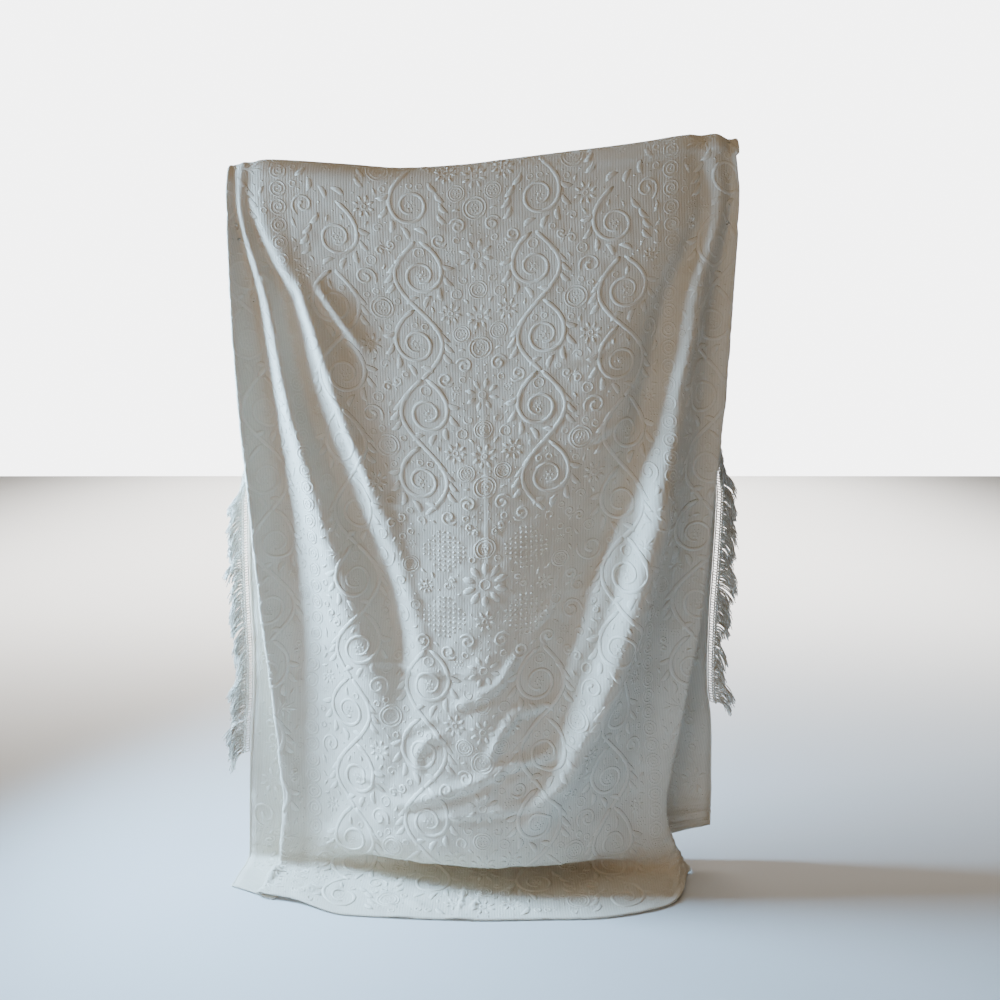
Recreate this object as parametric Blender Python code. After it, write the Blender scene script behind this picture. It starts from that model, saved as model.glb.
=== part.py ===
"""A fringed chenille bedspread that hangs by its top edge and trails on the floor.

The spread is one woven sheet.  It is held at its two upper corners, so soft
folds run down from both corners into a belly that swings forward just above
the floor.  The last stretch of cloth lies forward on the floor.  Both sides
are turned back behind the front and out again, and their hems carry a knotted
fringe: a narrow open heading with one lock of yarn to each knot.

Metres, +Z up, the front faces -Y.  The origin is on the crest of the top edge,
where the spread is held, so the floor lies at -HANG.
"""
import bpy
import numpy as np

# --- driving dimensions ------------------------------------------------------
CLOTH = 0.003            # thickness of the woven sheet
HANG = 1.852             # height of the held crest above the floor
ROLL = 0.045             # radius of the roll back over the top edge
ROLL_TURN = 118.0        # degrees that the top edge turns back
FLOOR_MID = CLOTH / 2    # middle of a layer that lies on the floor
GAP = 0.0003             # gap between the hem and the fringe heading

FRINGE_PITCH = 0.0145    # from knot to knot along the hem
FRINGE_TOP = 1.66        # height above the floor where the fringe starts
BAND_INNER = 0.005       # width of the heading band next to the hem
BAND_OPEN = 0.011        # width of the row of openings
BAND_OUTER = 0.005       # width of the band that the locks hang from
BAR = 0.0055             # width of a knot bar and of a lock's root
LOCK_LENGTH = 0.064
LOCK_SLOPE = 58.0        # degrees that a lock hangs below level
LOCK_WIDTH = 0.0042      # size of a lock at its bend
LOCK_DEPTH = 0.0036
LOCK_BEND = 0.55         # share of the length where a lock bends
LOCK_WANDER = 0.0032     # how far locks swing forward and back in turn
BAND_SAG = (0.0, 0.0006, 0.0050, 0.0085)     # droop of the heading's lines below the hem's

# --- the front: one row for each height above the floor ----------------------
# Each station is a fold line that runs down the cloth: across, depth.
# Depth is positive to the back.
STATIONS = ("edge_l", "dip_a", "ridge_a", "dip_b", "ridge_b", "dip_c", "crest",
            "ridge_d", "dip_d", "ridge_e", "dip_f", "edge_r")
SECTIONS = {
    1.88: ((-0.622, 0.000), (-0.605, 0.000), (-0.585, 0.000), (-0.560, 0.000),
           (-0.525, 0.000), (-0.480, 0.000), (-0.020, -0.001),
           (0.480, -0.002), (0.525, 0.000), (0.570, -0.002), (0.602, 0.001), (0.622, 0.000)),
    1.76: ((-0.634, -0.003), (-0.618, 0.004), (-0.600, -0.003), (-0.583, 0.001),
           (-0.556, -0.005), (-0.495, -0.004), (-0.020, -0.008),
           (0.500, -0.012), (0.545, -0.002), (0.588, -0.009), (0.614, 0.006), (0.634, -0.003)),
    1.51: ((-0.632, -0.008), (-0.580, 0.022), (-0.540, -0.012), (-0.500, 0.010),
           (-0.450, -0.018), (-0.395, -0.010), (-0.010, -0.022),
           (0.405, -0.036), (0.455, -0.006), (0.530, -0.034), (0.575, 0.012), (0.625, -0.008)),
    1.26: ((-0.622, -0.008), (-0.552, 0.028), (-0.492, -0.028), (-0.450, 0.006),
           (-0.370, -0.038), (-0.310, -0.030), (0.000, -0.048),
           (0.345, -0.054), (0.400, -0.018), (0.495, -0.060), (0.552, 0.004), (0.612, -0.010)),
    1.00: ((-0.602, -0.008), (-0.525, 0.028), (-0.418, -0.048), (-0.352, -0.006),
           (-0.268, -0.060), (-0.220, -0.056), (0.006, -0.082),
           (0.270, -0.070), (0.345, -0.052), (0.445, -0.100), (0.528, -0.006), (0.590, -0.012)),
    0.74: ((-0.583, -0.008), (-0.502, 0.020), (-0.340, -0.072), (-0.244, -0.032),
           (-0.180, -0.090), (-0.140, -0.094), (0.006, -0.118),
           (0.170, -0.108), (0.235, -0.096), (0.388, -0.140), (0.476, -0.016), (0.570, -0.014)),
    0.47: ((-0.556, -0.004), (-0.480, 0.012), (-0.270, -0.092), (-0.200, -0.100),
           (-0.140, -0.124), (-0.080, -0.136), (0.000, -0.150),
           (0.100, -0.144), (0.165, -0.134), (0.290, -0.160), (0.438, -0.026), (0.528, -0.012)),
    0.20: ((-0.535, 0.000), (-0.462, 0.004), (-0.285, -0.084), (-0.200, -0.124),
           (-0.130, -0.150), (-0.070, -0.162), (0.000, -0.170),
           (0.055, -0.168), (0.105, -0.160), (0.180, -0.140), (0.390, -0.034), (0.485, -0.006)),
}

# --- below the knee: how each station turns under and runs out on the floor --
# under: lowest height of the belly; back: depth where it meets the floor;
# out: depth of the cloth's edge on the floor; across: where that edge lies;
# level: height of the layer's middle, more where other layers lie under it.
KNEE = 0.20
MIN_RUN = 0.01           # a column with less run-out than this just hangs down
FULL_RUN = 0.10          # with more than this it takes the whole path
FULL_BULGE = 0.12        # how far the belly stands forward where it turns fully under
TURN_HEIGHT = 0.05       # height above the belly's lowest line where the turn starts
TUCK = 0.012             # how far the cloth swings behind the line where it meets the floor
TUCK_SHARE = 0.3         # most of a short run that the swing may take
EARLY_SLIDE = 0.4        # share of the sideways move made before the floor
FOOT_COLUMNS = ("under", "back", "out", "across", "level")
FOOT = {
    "edge_l": (0.052, 0.000, -0.150, -0.574, 0.0126),
    "dip_a": (0.050, 0.004, -0.172, -0.490, 0.0105),
    "ridge_a": (0.066, 0.004, -0.238, -0.350, FLOOR_MID),
    "dip_b": (0.070, 0.000, -0.250, -0.245, FLOOR_MID),
    "ridge_b": (0.070, 0.000, -0.258, -0.150, FLOOR_MID),
    "dip_c": (0.068, 0.000, -0.262, -0.080, FLOOR_MID),
    "crest": (0.066, 0.000, -0.266, 0.000, FLOOR_MID),
    "ridge_d": (0.066, 0.000, -0.264, 0.070, FLOOR_MID),
    "dip_d": (0.066, 0.000, -0.262, 0.130, FLOOR_MID),
    "ridge_e": (0.064, 0.000, -0.258, 0.260, FLOOR_MID),
    "dip_f": (0.050, -0.014, -0.185, 0.480, FLOOR_MID),
    "edge_r": (0.050, -0.006, -0.026, 0.555, FLOOR_MID),
}

# --- the sides: turned back behind the front, one row for each height --------
# inset: how far the back turn lies inside the front fold; leg, ret: depths of
# the two layers; hem: how far the hem lies outside the front fold.
OUTWARD = {"left": -1, "right": 1}
SIDE_COLUMNS = ("inset", "leg", "ret", "hem")
SIDES = {
    "left": {
        1.88: (0.170, 0.014, 0.024, -0.085),
        1.76: (0.175, 0.026, 0.044, -0.095),
        1.51: (0.180, 0.052, 0.082, -0.090),
        1.26: (0.185, 0.060, 0.092, -0.062),
        1.10: (0.185, 0.060, 0.092, -0.014),
        1.00: (0.180, 0.060, 0.090, 0.018),
        0.86: (0.178, 0.058, 0.088, 0.032),
        0.74: (0.175, 0.056, 0.086, 0.041),
        0.60: (0.175, 0.052, 0.080, 0.050),
        0.47: (0.170, 0.048, 0.076, 0.066),
        0.35: (0.170, 0.046, 0.074, 0.086),
        0.20: (0.165, 0.044, 0.072, 0.106),
    },
    "right": {
        1.88: (0.170, 0.014, 0.024, -0.085),
        1.76: (0.175, 0.026, 0.044, -0.095),
        1.51: (0.180, 0.052, 0.082, -0.084),
        1.26: (0.185, 0.060, 0.092, -0.044),
        1.12: (0.185, 0.060, 0.092, -0.002),
        1.00: (0.180, 0.060, 0.090, 0.024),
        0.86: (0.178, 0.058, 0.088, 0.030),
        0.74: (0.175, 0.056, 0.086, 0.034),
        0.60: (0.175, 0.052, 0.080, 0.050),
        0.50: (0.170, 0.048, 0.076, 0.068),
        0.40: (0.170, 0.046, 0.074, 0.096),
        0.20: (0.165, 0.044, 0.072, 0.134),
    },
}
# height above the floor where the layers behind the front end
# where the side layers end, one row for each of their points from the front fold
# out to the hem; stop: height above the floor; run: length along the floor,
# forwards; slide: outwards; level: height of the layer's middle on the floor
SIDE_UNDER = 0.050
SIDE_FOOT_COLUMNS = ("stop", "run", "slide", "level")
SIDE_FOOT = {
    "left": (
        (0.000, 0.170, 0.045, 0.0090),
        (0.000, 0.190, 0.063, 0.0056),
        (0.000, 0.030, 0.010, 0.0056),
        (0.000, 0.030, 0.000, 0.0056),
        (0.000, 0.030, 0.000, 0.0036),
        (0.000, 0.030, 0.000, FLOOR_MID),
        (0.000, 0.235, 0.020, FLOOR_MID),
        (0.000, 0.165, 0.015, FLOOR_MID),
    ),
    "right": (
        (0.000, 0.000, 0.066, FLOOR_MID),
        (0.010, 0.000, 0.055, FLOOR_MID),
        (0.050, 0.000, 0.015, FLOOR_MID),
        (0.050, 0.000, 0.000, FLOOR_MID),
        (0.050, 0.000, 0.000, FLOOR_MID),
        (0.050, 0.000, 0.000, FLOOR_MID),
        (0.060, 0.000, 0.000, FLOOR_MID),
        (0.092, 0.000, 0.000, FLOOR_MID),
    ),
}
FRINGE_END = {"left": 0.300, "right": 0.440}     # height where the fringe ends
# where the fringe is caught up behind: height above the floor, reach of it
CAUGHT = {"left": 0.755, "right": 0.590}
CAUGHT_REACH = 0.028
CAUGHT_LENGTH = 0.45     # share of a lock's length that still shows there

# --- the crest of the top edge: across, height above the held point ----------
CREST = ((-0.640, -0.012), (-0.600, -0.002), (-0.530, 0.004), (-0.350, -0.006),
         (-0.200, -0.017), (-0.050, -0.010), (0.050, 0.001), (0.200, 0.017),
         (0.400, 0.040), (0.500, 0.058), (0.530, 0.064), (0.590, 0.062), (0.640, 0.054))

# --- columns of the mesh between stations, rows down the cloth ---------------
FRONT_STEPS = (2, 3, 3, 3, 2, 4, 4, 3, 3, 3, 3)
ROLL_ROWS = 5
HANG_ROWS = 26
LEVELS = 120             # cross-sections that the hanging rows are read from
FOOT_STEPS = (1, 1, 1, 1, 1, 1, 1, 2, 3)     # rows between the foot's turning points
FOOT_ROWS = sum(FOOT_STEPS)


def ease_curve(keys, values, at):
    """Smooth curve through (keys, values), with a slope that never overshoots."""
    order = np.argsort(keys)
    keys = np.asarray(keys, float)[order]
    values = np.asarray(values, float)[order]
    step = np.diff(keys)
    rise = np.diff(values) / step
    slope = np.zeros(len(keys))
    slope[0], slope[-1] = rise[0], rise[-1]
    for i in range(1, len(keys) - 1):
        if rise[i - 1] * rise[i] > 0:
            w1 = 2 * step[i] + step[i - 1]
            w2 = step[i] + 2 * step[i - 1]
            slope[i] = (w1 + w2) / (w1 / rise[i - 1] + w2 / rise[i])
    at = np.clip(at, keys[0], keys[-1])
    i = np.clip(np.searchsorted(keys, at) - 1, 0, len(step) - 1)
    t = (at - keys[i]) / step[i]
    t2, t3 = t * t, t * t * t
    return ((2 * t3 - 3 * t2 + 1) * values[i] + (t3 - 2 * t2 + t) * step[i] * slope[i]
            + (3 * t2 - 2 * t3) * values[i + 1] + (t3 - t2) * step[i] * slope[i + 1])


def through(points, steps):
    """Points of a smooth curve through the given ones, steps[i] to each stretch."""
    points = np.asarray(points, float)
    first = 2 * points[0] - points[1]
    last = 2 * points[-1] - points[-2]
    p = np.vstack([first, points, last])
    out = []
    for i, count in enumerate(steps):
        a, b, c, d = p[i:i + 4]
        knot_ab = np.linalg.norm((b - a)[:2]) ** 0.5 + 1e-6
        knot_bc = np.linalg.norm((c - b)[:2]) ** 0.5 + 1e-6
        knot_cd = np.linalg.norm((d - c)[:2]) ** 0.5 + 1e-6
        start = ((b - a) / knot_ab - (c - a) / (knot_ab + knot_bc) + (c - b) / knot_bc) * knot_bc
        end = ((c - b) / knot_bc - (d - b) / (knot_bc + knot_cd) + (d - c) / knot_cd) * knot_bc
        for j in range(count):
            t = j / count
            out.append((2 * t**3 - 3 * t**2 + 1) * b + (t**3 - 2 * t**2 + t) * start
                       + (3 * t**2 - 2 * t**3) * c + (t**3 - t**2) * end)
    out.append(points[-1])
    return np.array(out)


def section_value(table, index, height):
    """One column of a height table at a height; index picks the entry."""
    heights = sorted(table)
    return ease_curve(heights, [index(table[h]) for h in heights], height)


def side_row(side, height):
    """The side table's row at a height, by column name."""
    return {name: float(section_value(SIDES[side], lambda row, k=k: row[k], height))
            for k, name in enumerate(SIDE_COLUMNS)}


def side_points(edge, height, side):
    """The turned back side, from just behind the front fold out to the hem."""
    row = side_row(side, height)
    outward = OUTWARD[side]
    edge_x, edge_y = edge
    leg, ret = row["leg"], row["ret"]
    turn_x = edge_x - outward * row["inset"]
    hem_x = edge_x + outward * row["hem"]
    return [
        (edge_x - outward * 0.003, (edge_y + leg) / 2),
        (edge_x - outward * 0.026, leg),
        (edge_x - outward * row["inset"] * 0.55, leg + 0.003),
        (turn_x + outward * 0.012, leg + 0.002),
        (turn_x, (leg + ret) / 2),
        (turn_x + outward * 0.012, ret - 0.001),
        (0.45 * turn_x + 0.55 * hem_x, ret + 0.002),
        (hem_x, ret),
    ]


SIDE_STEPS = (1, 1, 2, 2, 1, 1, 2, 3)     # from the front fold out to the hem


def cross_section(height):
    """The cloth's middle line at one height, from the left hem to the right."""
    front = [(float(section_value(SECTIONS, lambda row, k=k: row[k][0], height)),
              float(section_value(SECTIONS, lambda row, k=k: row[k][1], height)))
             for k in range(len(STATIONS))]
    left = side_points(front[0], height, "left")[::-1]
    right = side_points(front[-1], height, "right")
    steps = SIDE_STEPS[::-1] + FRONT_STEPS + SIDE_STEPS
    return through(left + front + right, steps)


def column_foot():
    """Foot values for each front column, and for each side column from the fold."""
    stations = np.concatenate([[0], np.cumsum(FRONT_STEPS)])
    front = np.stack([ease_curve(stations, [FOOT[name][k] for name in STATIONS],
                                 np.arange(stations[-1] + 1))
                      for k in range(len(FOOT_COLUMNS))], axis=1)
    keys = np.cumsum(SIDE_STEPS)
    at = np.arange(1, keys[-1] + 1)
    sides = {side: np.stack([np.interp(at, keys, [row[k] for row in SIDE_FOOT[side]])
                             for k in range(len(SIDE_FOOT_COLUMNS))], axis=1)
             for side in OUTWARD}
    return front, sides


def build_grid():
    """Middle surface of the whole cloth: rows down, columns across."""
    side_count = sum(SIDE_STEPS)
    crest_at = np.array([c[0] for c in CREST])
    crest_up = np.array([c[1] for c in CREST])
    top_line = cross_section(HANG - ROLL)
    crest = HANG + ease_curve(crest_at, crest_up, top_line[:, 0])
    bend_at = crest - ROLL
    columns = len(top_line)
    rows = []
    # the roll back over the top edge: every layer turns about one line
    angles = np.radians(np.linspace(ROLL_TURN, 0, ROLL_ROWS + 1))[:-1]
    for angle in angles:
        radius = ROLL - top_line[:, 1]
        rows.append(np.stack([top_line[:, 0], ROLL - radius * np.cos(angle),
                              bend_at + radius * np.sin(angle)], axis=1))
    # the hanging stretch: each column runs from its own bend down to the knee
    levels = np.linspace(KNEE, max(SECTIONS), LEVELS)
    lines = np.array([cross_section(height) for height in levels])
    for share in np.linspace(0, 1, HANG_ROWS + 1):
        heights = bend_at + (KNEE - bend_at) * share
        rows.append(cross_rows(levels, lines, heights))
    # the foot: turn under, meet the floor, run out
    knee = rows[-1]
    front, sides = column_foot()
    foot = np.zeros((FOOT_ROWS, columns, 3))
    for c in range(side_count, columns - side_count):
        _, back, out, _, _ = front[c - side_count]
        share = min(1.0, (back - out) / FULL_RUN)
        foot[:, c] = foot_path(knee[c], front[c - side_count], 0.0, share)
    for step in range(side_count):
        for side, c in (("left", side_count - 1 - step), ("right", columns - side_count + step)):
            foot[:, c] = side_path(knee[c], sides[side][step], OUTWARD[side])
    rows.extend(foot)
    return np.array(rows)


def cross_rows(levels, lines, heights):
    """Cross-section points, each column taken at its own height."""
    columns = range(len(heights))
    across = [np.interp(heights[c], levels, lines[:, c, 0]) for c in columns]
    depth = [np.interp(heights[c], levels, lines[:, c, 1]) for c in columns]
    return np.stack([across, depth, heights], axis=1)


def side_path(knee, values, outward):
    """A side column's foot, made as the front's is."""
    stop, run, slide, level = values
    x, y, _ = knee
    return foot_path(knee, (SIDE_UNDER, y, y - run, x + outward * slide, level), stop, 1.0)


def foot_path(knee, values, stop, share):
    """Down from the knee, under the belly, back to the floor and out along it.

    A share below 1 draws it towards the straight way down.
    """
    under, back, out, across, level = values
    x, y, _ = knee
    bulge = max(0.0, back - y)
    swing = min(1.0, bulge / FULL_BULGE)
    calm = 1 - swing
    turn = under + TURN_HEIGHT
    behind = back + TUCK * swing
    length = back - out
    points = [
        (x, y, KNEE),
        (x, y + 0.002 * swing, 0.5 * (KNEE + turn)),
        (x, y + 0.006 * swing, turn),
        (x, y + bulge * 0.24, under + 0.006 + 0.018 * calm),
        (x, y + bulge * 0.66, under - 0.004 - 0.006 * calm),
        (x, behind, 0.60 * under),
        (x, behind - 0.002, level + 0.010),
        (x, back - min(TUCK, TUCK_SHARE * length), level + 0.001),
        (x, 0.5 * (back + out), level),
        (x, out, level),
    ]
    plumb = plumb_path(knee, stop, across)
    if length < MIN_RUN:
        return plumb
    line = through_space(points, FOOT_STEPS)[1:]
    # it moves sideways part of the way as it comes down, the rest as it runs out
    travel = np.clip((KNEE - line[:, 2]) / KNEE, 0, 1)
    run = np.clip((back - line[:, 1]) / length, 0, 1)
    on_floor = np.arange(len(line)) >= 6
    slide = np.where(on_floor, EARLY_SLIDE + (1 - EARLY_SLIDE) * run, EARLY_SLIDE * travel)
    line[:, 0] = x + (across - x) * slide
    return plumb + (line - plumb) * share


def plumb_path(knee, stop, across):
    """Down from the knee to a height above the floor, with a lean to one side."""
    share = np.sqrt(np.arange(1, FOOT_ROWS + 1) / FOOT_ROWS)
    line = np.tile(knee, (FOOT_ROWS, 1))
    line[:, 2] = KNEE + (stop + CLOTH - KNEE) * share
    travel = (KNEE - line[:, 2]) / KNEE
    line[:, 0] += (across - knee[0]) * travel * travel
    return line


def through_space(points, steps):
    """Smooth curve through points in space, spaced by its side view."""
    turned = [(p[1], p[2], p[0]) for p in points]
    line = through(turned, steps)
    return line[:, [2, 0, 1]]


def middle_way(grid, axis):
    """Mean unit direction of the two steps beside each grid point."""
    step = np.diff(grid, axis=axis)
    step /= np.linalg.norm(step, axis=2, keepdims=True)
    first = np.take(step, [0], axis=axis)
    last = np.take(step, [-1], axis=axis)
    return np.concatenate([first, step], axis=axis) + np.concatenate([step, last], axis=axis)


def normals(grid):
    """Unit normals of the middle surface at its grid points."""
    normal = np.cross(middle_way(grid, 0), middle_way(grid, 1))
    return normal / np.linalg.norm(normal, axis=2, keepdims=True)


def new_object(name, points, faces, material):
    """One named object from points and faces."""
    mesh = bpy.data.meshes.new(name)
    mesh.from_pydata([tuple(p) for p in points], [], faces)
    mesh.update()
    mesh.materials.append(material)
    item = bpy.data.objects.new(name, mesh)
    bpy.context.scene.collection.objects.link(item)
    return item


def yarn_material(name, colour, roughness):
    """Plain cotton finish."""
    material = bpy.data.materials.new(name)
    material.use_nodes = True
    shader = material.node_tree.nodes["Principled BSDF"]
    shader.inputs["Base Color"].default_value = (*colour, 1.0)
    shader.inputs["Roughness"].default_value = roughness
    shader.inputs["Metallic"].default_value = 0.0
    return material


def make_bedspread(grid, normal, material):
    """The cloth: two faces half a thickness from the middle, closed at the rim."""
    rows, columns = grid.shape[:2]
    front = grid + normal * (CLOTH / 2)
    rear = grid - normal * (CLOTH / 2)
    points = np.concatenate([front.reshape(-1, 3), rear.reshape(-1, 3)])
    offset = rows * columns
    faces = []
    for r in range(rows - 1):
        for c in range(columns - 1):
            a, b = r * columns + c, r * columns + c + 1
            d, e = a + columns, b + columns
            faces.append((a, d, e, b))
            faces.append((offset + a, offset + b, offset + e, offset + d))
    rim = [r * columns for r in range(rows)]
    rim += [(rows - 1) * columns + c for c in range(1, columns)]
    rim += [r * columns + columns - 1 for r in range(rows - 2, -1, -1)]
    rim += [c for c in range(columns - 2, 0, -1)]
    for a, b in zip(rim, rim[1:] + rim[:1]):
        faces.append((a, offset + a, offset + b, b))
    return new_object("bedspread", points, faces, material)


def hem_line(grid, normal, column, inner, end):
    """Points, outward directions and face normals at the knots along one hem."""
    line = grid[:, column]
    side = line - grid[:, inner]
    side /= np.linalg.norm(side, axis=1, keepdims=True)
    face = normal[:, column]
    run = np.concatenate([[0], np.cumsum(np.linalg.norm(np.diff(line, axis=0), axis=1))])
    height = line[:, 2] + HANG
    rows = [r for r in range(ROLL_ROWS, len(line)) if end <= height[r] <= FRINGE_TOP]
    marks = []
    for a, b in zip(rows, rows[1:]):
        # a knot starts on each row of the cloth, so the heading follows the hem
        count = round((run[b] - run[a]) / FRINGE_PITCH)
        pitch = (run[b] - run[a]) / count
        for i in range(count):
            marks += [run[a] + i * pitch, run[a] + i * pitch + BAR]
    if len(marks) % 4 == 0:
        marks = marks[:-2]
    locks = len(marks) // 2

    def along(values):
        return np.stack([np.interp(marks, run, values[:, k]) for k in range(3)], axis=1)

    place, side, face = along(line), along(side), along(face)
    side /= np.linalg.norm(side, axis=1, keepdims=True)
    return place, side, face, locks


def make_fringe(side, grid, normal, material):
    """Open heading beside the hem, with a four sided lock at each knot.

    The heading has one opening for each two locks.  A lock leaves the outer
    band level with it and hangs down, a little forward or back in turn.
    """
    last = grid.shape[1] - 1
    column, inner = (0, 1) if side == "left" else (last, last - 1)
    flip = side == "left"
    place, out_way, face, locks = hem_line(grid, normal, column, inner, FRINGE_END[side])
    levels = np.array([GAP, GAP + BAND_INNER, GAP + BAND_INNER + BAND_OPEN,
                       GAP + BAND_INNER + BAND_OPEN + BAND_OUTER])
    half = CLOTH / 2
    points = []
    count = len(place)

    def add(point):
        points.append(point)
        return len(points) - 1

    down = np.array([0.0, 0.0, -1.0])
    ids = np.zeros((4, 2, count), int)
    for level in range(4):
        for k, sign in enumerate((1, -1)):
            for m in range(count):
                centre = place[m] + out_way[m] * levels[level] + down * BAND_SAG[level]
                ids[level, k, m] = add(centre + face[m] * (half * sign))
    faces = []

    def quad(a, b, c, d):
        faces.append((a, b, c, d) if not flip else (d, c, b, a))

    def open_after(m):
        """Is there an opening between the marks m and m + 1?"""
        return m % 4 != 0

    for m in range(count - 1):
        for level in range(3):
            if level == 1 and open_after(m):
                continue
            a0, b0 = ids[level, 0, m], ids[level + 1, 0, m]
            a1, b1 = ids[level, 0, m + 1], ids[level + 1, 0, m + 1]
            quad(a0, a1, b1, b0)
            a0, b0 = ids[level, 1, m], ids[level + 1, 1, m]
            a1, b1 = ids[level, 1, m + 1], ids[level + 1, 1, m + 1]
            quad(b0, b1, a1, a0)
        quad(ids[0, 1, m], ids[0, 1, m + 1], ids[0, 0, m + 1], ids[0, 0, m])
        if m % 2:
            quad(ids[3, 0, m], ids[3, 0, m + 1], ids[3, 1, m + 1], ids[3, 1, m])
        if open_after(m):
            quad(ids[1, 0, m], ids[1, 0, m + 1], ids[1, 1, m + 1], ids[1, 1, m])
            quad(ids[2, 1, m], ids[2, 1, m + 1], ids[2, 0, m + 1], ids[2, 0, m])
    # walls of the knot bars beside the openings
    for m in range(count):
        before = m > 0 and open_after(m - 1)
        after = m < count - 1 and open_after(m)
        if before and not after:
            quad(ids[1, 1, m], ids[1, 0, m], ids[2, 0, m], ids[2, 1, m])
        if after and not before:
            quad(ids[1, 0, m], ids[1, 1, m], ids[2, 1, m], ids[2, 0, m])
    # the two ends of the heading
    last = count - 1
    for level in range(3):
        quad(ids[level, 1, last], ids[level + 1, 1, last],
             ids[level + 1, 0, last], ids[level, 0, last])
        quad(ids[level, 0, 0], ids[level + 1, 0, 0], ids[level + 1, 1, 0], ids[level, 1, 0])
    # the locks
    for i in range(locks):
        m = 2 * i
        root = [ids[3, 0, m], ids[3, 0, m + 1], ids[3, 1, m + 1], ids[3, 1, m]]
        middle = (place[m] + place[m + 1]) / 2
        out = out_way[m] * np.array([1.0, 1.0, 0.0])
        out /= np.linalg.norm(out)
        wander = LOCK_WANDER * (np.sin(2.4 * i) + 0.55 * np.sin(0.31 * i))
        length = LOCK_LENGTH * (0.94 + 0.08 * np.sin(0.9 * i) + 0.06 * np.sin(0.23 * i + 1))
        caught = abs(middle[2] + HANG - CAUGHT[side]) / CAUGHT_REACH
        length *= CAUGHT_LENGTH + (1 - CAUGHT_LENGTH) * min(1.0, caught ** 2)
        start = middle + out_way[m] * levels[3] + down * BAND_SAG[3]
        # where the hem moves outward going down, the locks stand off further
        step = place[m + 1] - place[m]
        slope = np.radians(LOCK_SLOPE) - max(0.0, np.arctan2(step @ out, -step[2]))
        way = out * np.cos(slope) + down * np.sin(slope)
        across = np.cross(face[m], way)
        across /= np.linalg.norm(across)
        if across[2] < 0:
            across = -across
        bend = start + way * (LOCK_BEND * length) + face[m] * wander + out * 0.004
        wide = across * (LOCK_WIDTH / 2)
        deep = face[m] * (LOCK_DEPTH / 2)
        ring = [add(bend + wide + deep), add(bend - wide + deep),
                add(bend - wide - deep), add(bend + wide - deep)]
        tip = add(start + way * length + face[m] * (1.6 * wander))
        for k in range(4):
            n = (k + 1) % 4
            quad(root[k], root[n], ring[n], ring[k])
            faces.append((ring[k], ring[n], tip) if not flip else (tip, ring[n], ring[k]))
    return new_object(f"fringe_{side}", points, faces, material)


def main():
    """Build the bedspread and its two fringes."""
    for item in list(bpy.data.objects):
        bpy.data.objects.remove(item)
    cotton = yarn_material("cream_cotton", (0.80, 0.76, 0.68), 0.95)
    yarn = yarn_material("cream_yarn", (0.84, 0.80, 0.72), 0.9)
    grid = build_grid()
    grid[:, :, 1] -= ROLL
    grid[:, :, 2] -= HANG
    normal = normals(grid)
    make_bedspread(grid, normal, cotton)
    for side in OUTWARD:
        make_fringe(side, grid, normal, yarn)


main()
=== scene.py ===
"""Looks of a fringed chenille bedspread that hangs by its top edge.

The cloth is one closed mesh on the same fold lines as the solid that it stands
for, with finer steps and small creases.  Rows of raised pile lie on it as low
ribbons that follow its surface.  Knotted yarn fringes are sewn to both hems.

Metres, +Z up, the front faces -Y.  The origin is on the crest of the top edge,
so the floor lies at -HANG.
"""
import math

import bpy
import numpy as np
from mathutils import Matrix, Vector

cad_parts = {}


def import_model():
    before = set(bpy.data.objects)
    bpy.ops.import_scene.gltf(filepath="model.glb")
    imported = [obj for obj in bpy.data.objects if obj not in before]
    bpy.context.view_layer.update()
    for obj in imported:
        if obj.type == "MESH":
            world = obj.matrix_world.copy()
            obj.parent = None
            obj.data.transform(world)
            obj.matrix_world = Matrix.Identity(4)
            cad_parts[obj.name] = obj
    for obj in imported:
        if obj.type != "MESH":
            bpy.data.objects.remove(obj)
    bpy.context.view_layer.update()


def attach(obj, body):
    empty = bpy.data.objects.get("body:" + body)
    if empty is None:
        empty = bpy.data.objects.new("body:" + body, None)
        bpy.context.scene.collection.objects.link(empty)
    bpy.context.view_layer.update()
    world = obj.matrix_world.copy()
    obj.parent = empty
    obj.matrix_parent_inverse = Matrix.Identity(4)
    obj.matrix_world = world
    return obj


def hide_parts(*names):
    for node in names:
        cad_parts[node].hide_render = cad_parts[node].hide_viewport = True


# --- driving dimensions, as in the solids
CLOTH = 0.003  # thickness of the woven sheet
HANG = 1.852  # height of the held crest above the floor
ROLL = 0.045  # radius of the roll back over the top edge
ROLL_TURN = 118.0  # degrees that the top edge turns back
FLOOR_MID = 500 * CLOTH  # middle of a layer that lies on the floor, in millimetres
TINY = 1e-12  # added to a length before a division by it


def metres(table):
    """A table in metres, from one in millimetres; the keys stay as they are."""
    if isinstance(table, dict):
        return {key: metres(row) for key, row in table.items()}
    if isinstance(table, tuple):
        return tuple(metres(item) for item in table)
    return table / 1000


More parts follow.
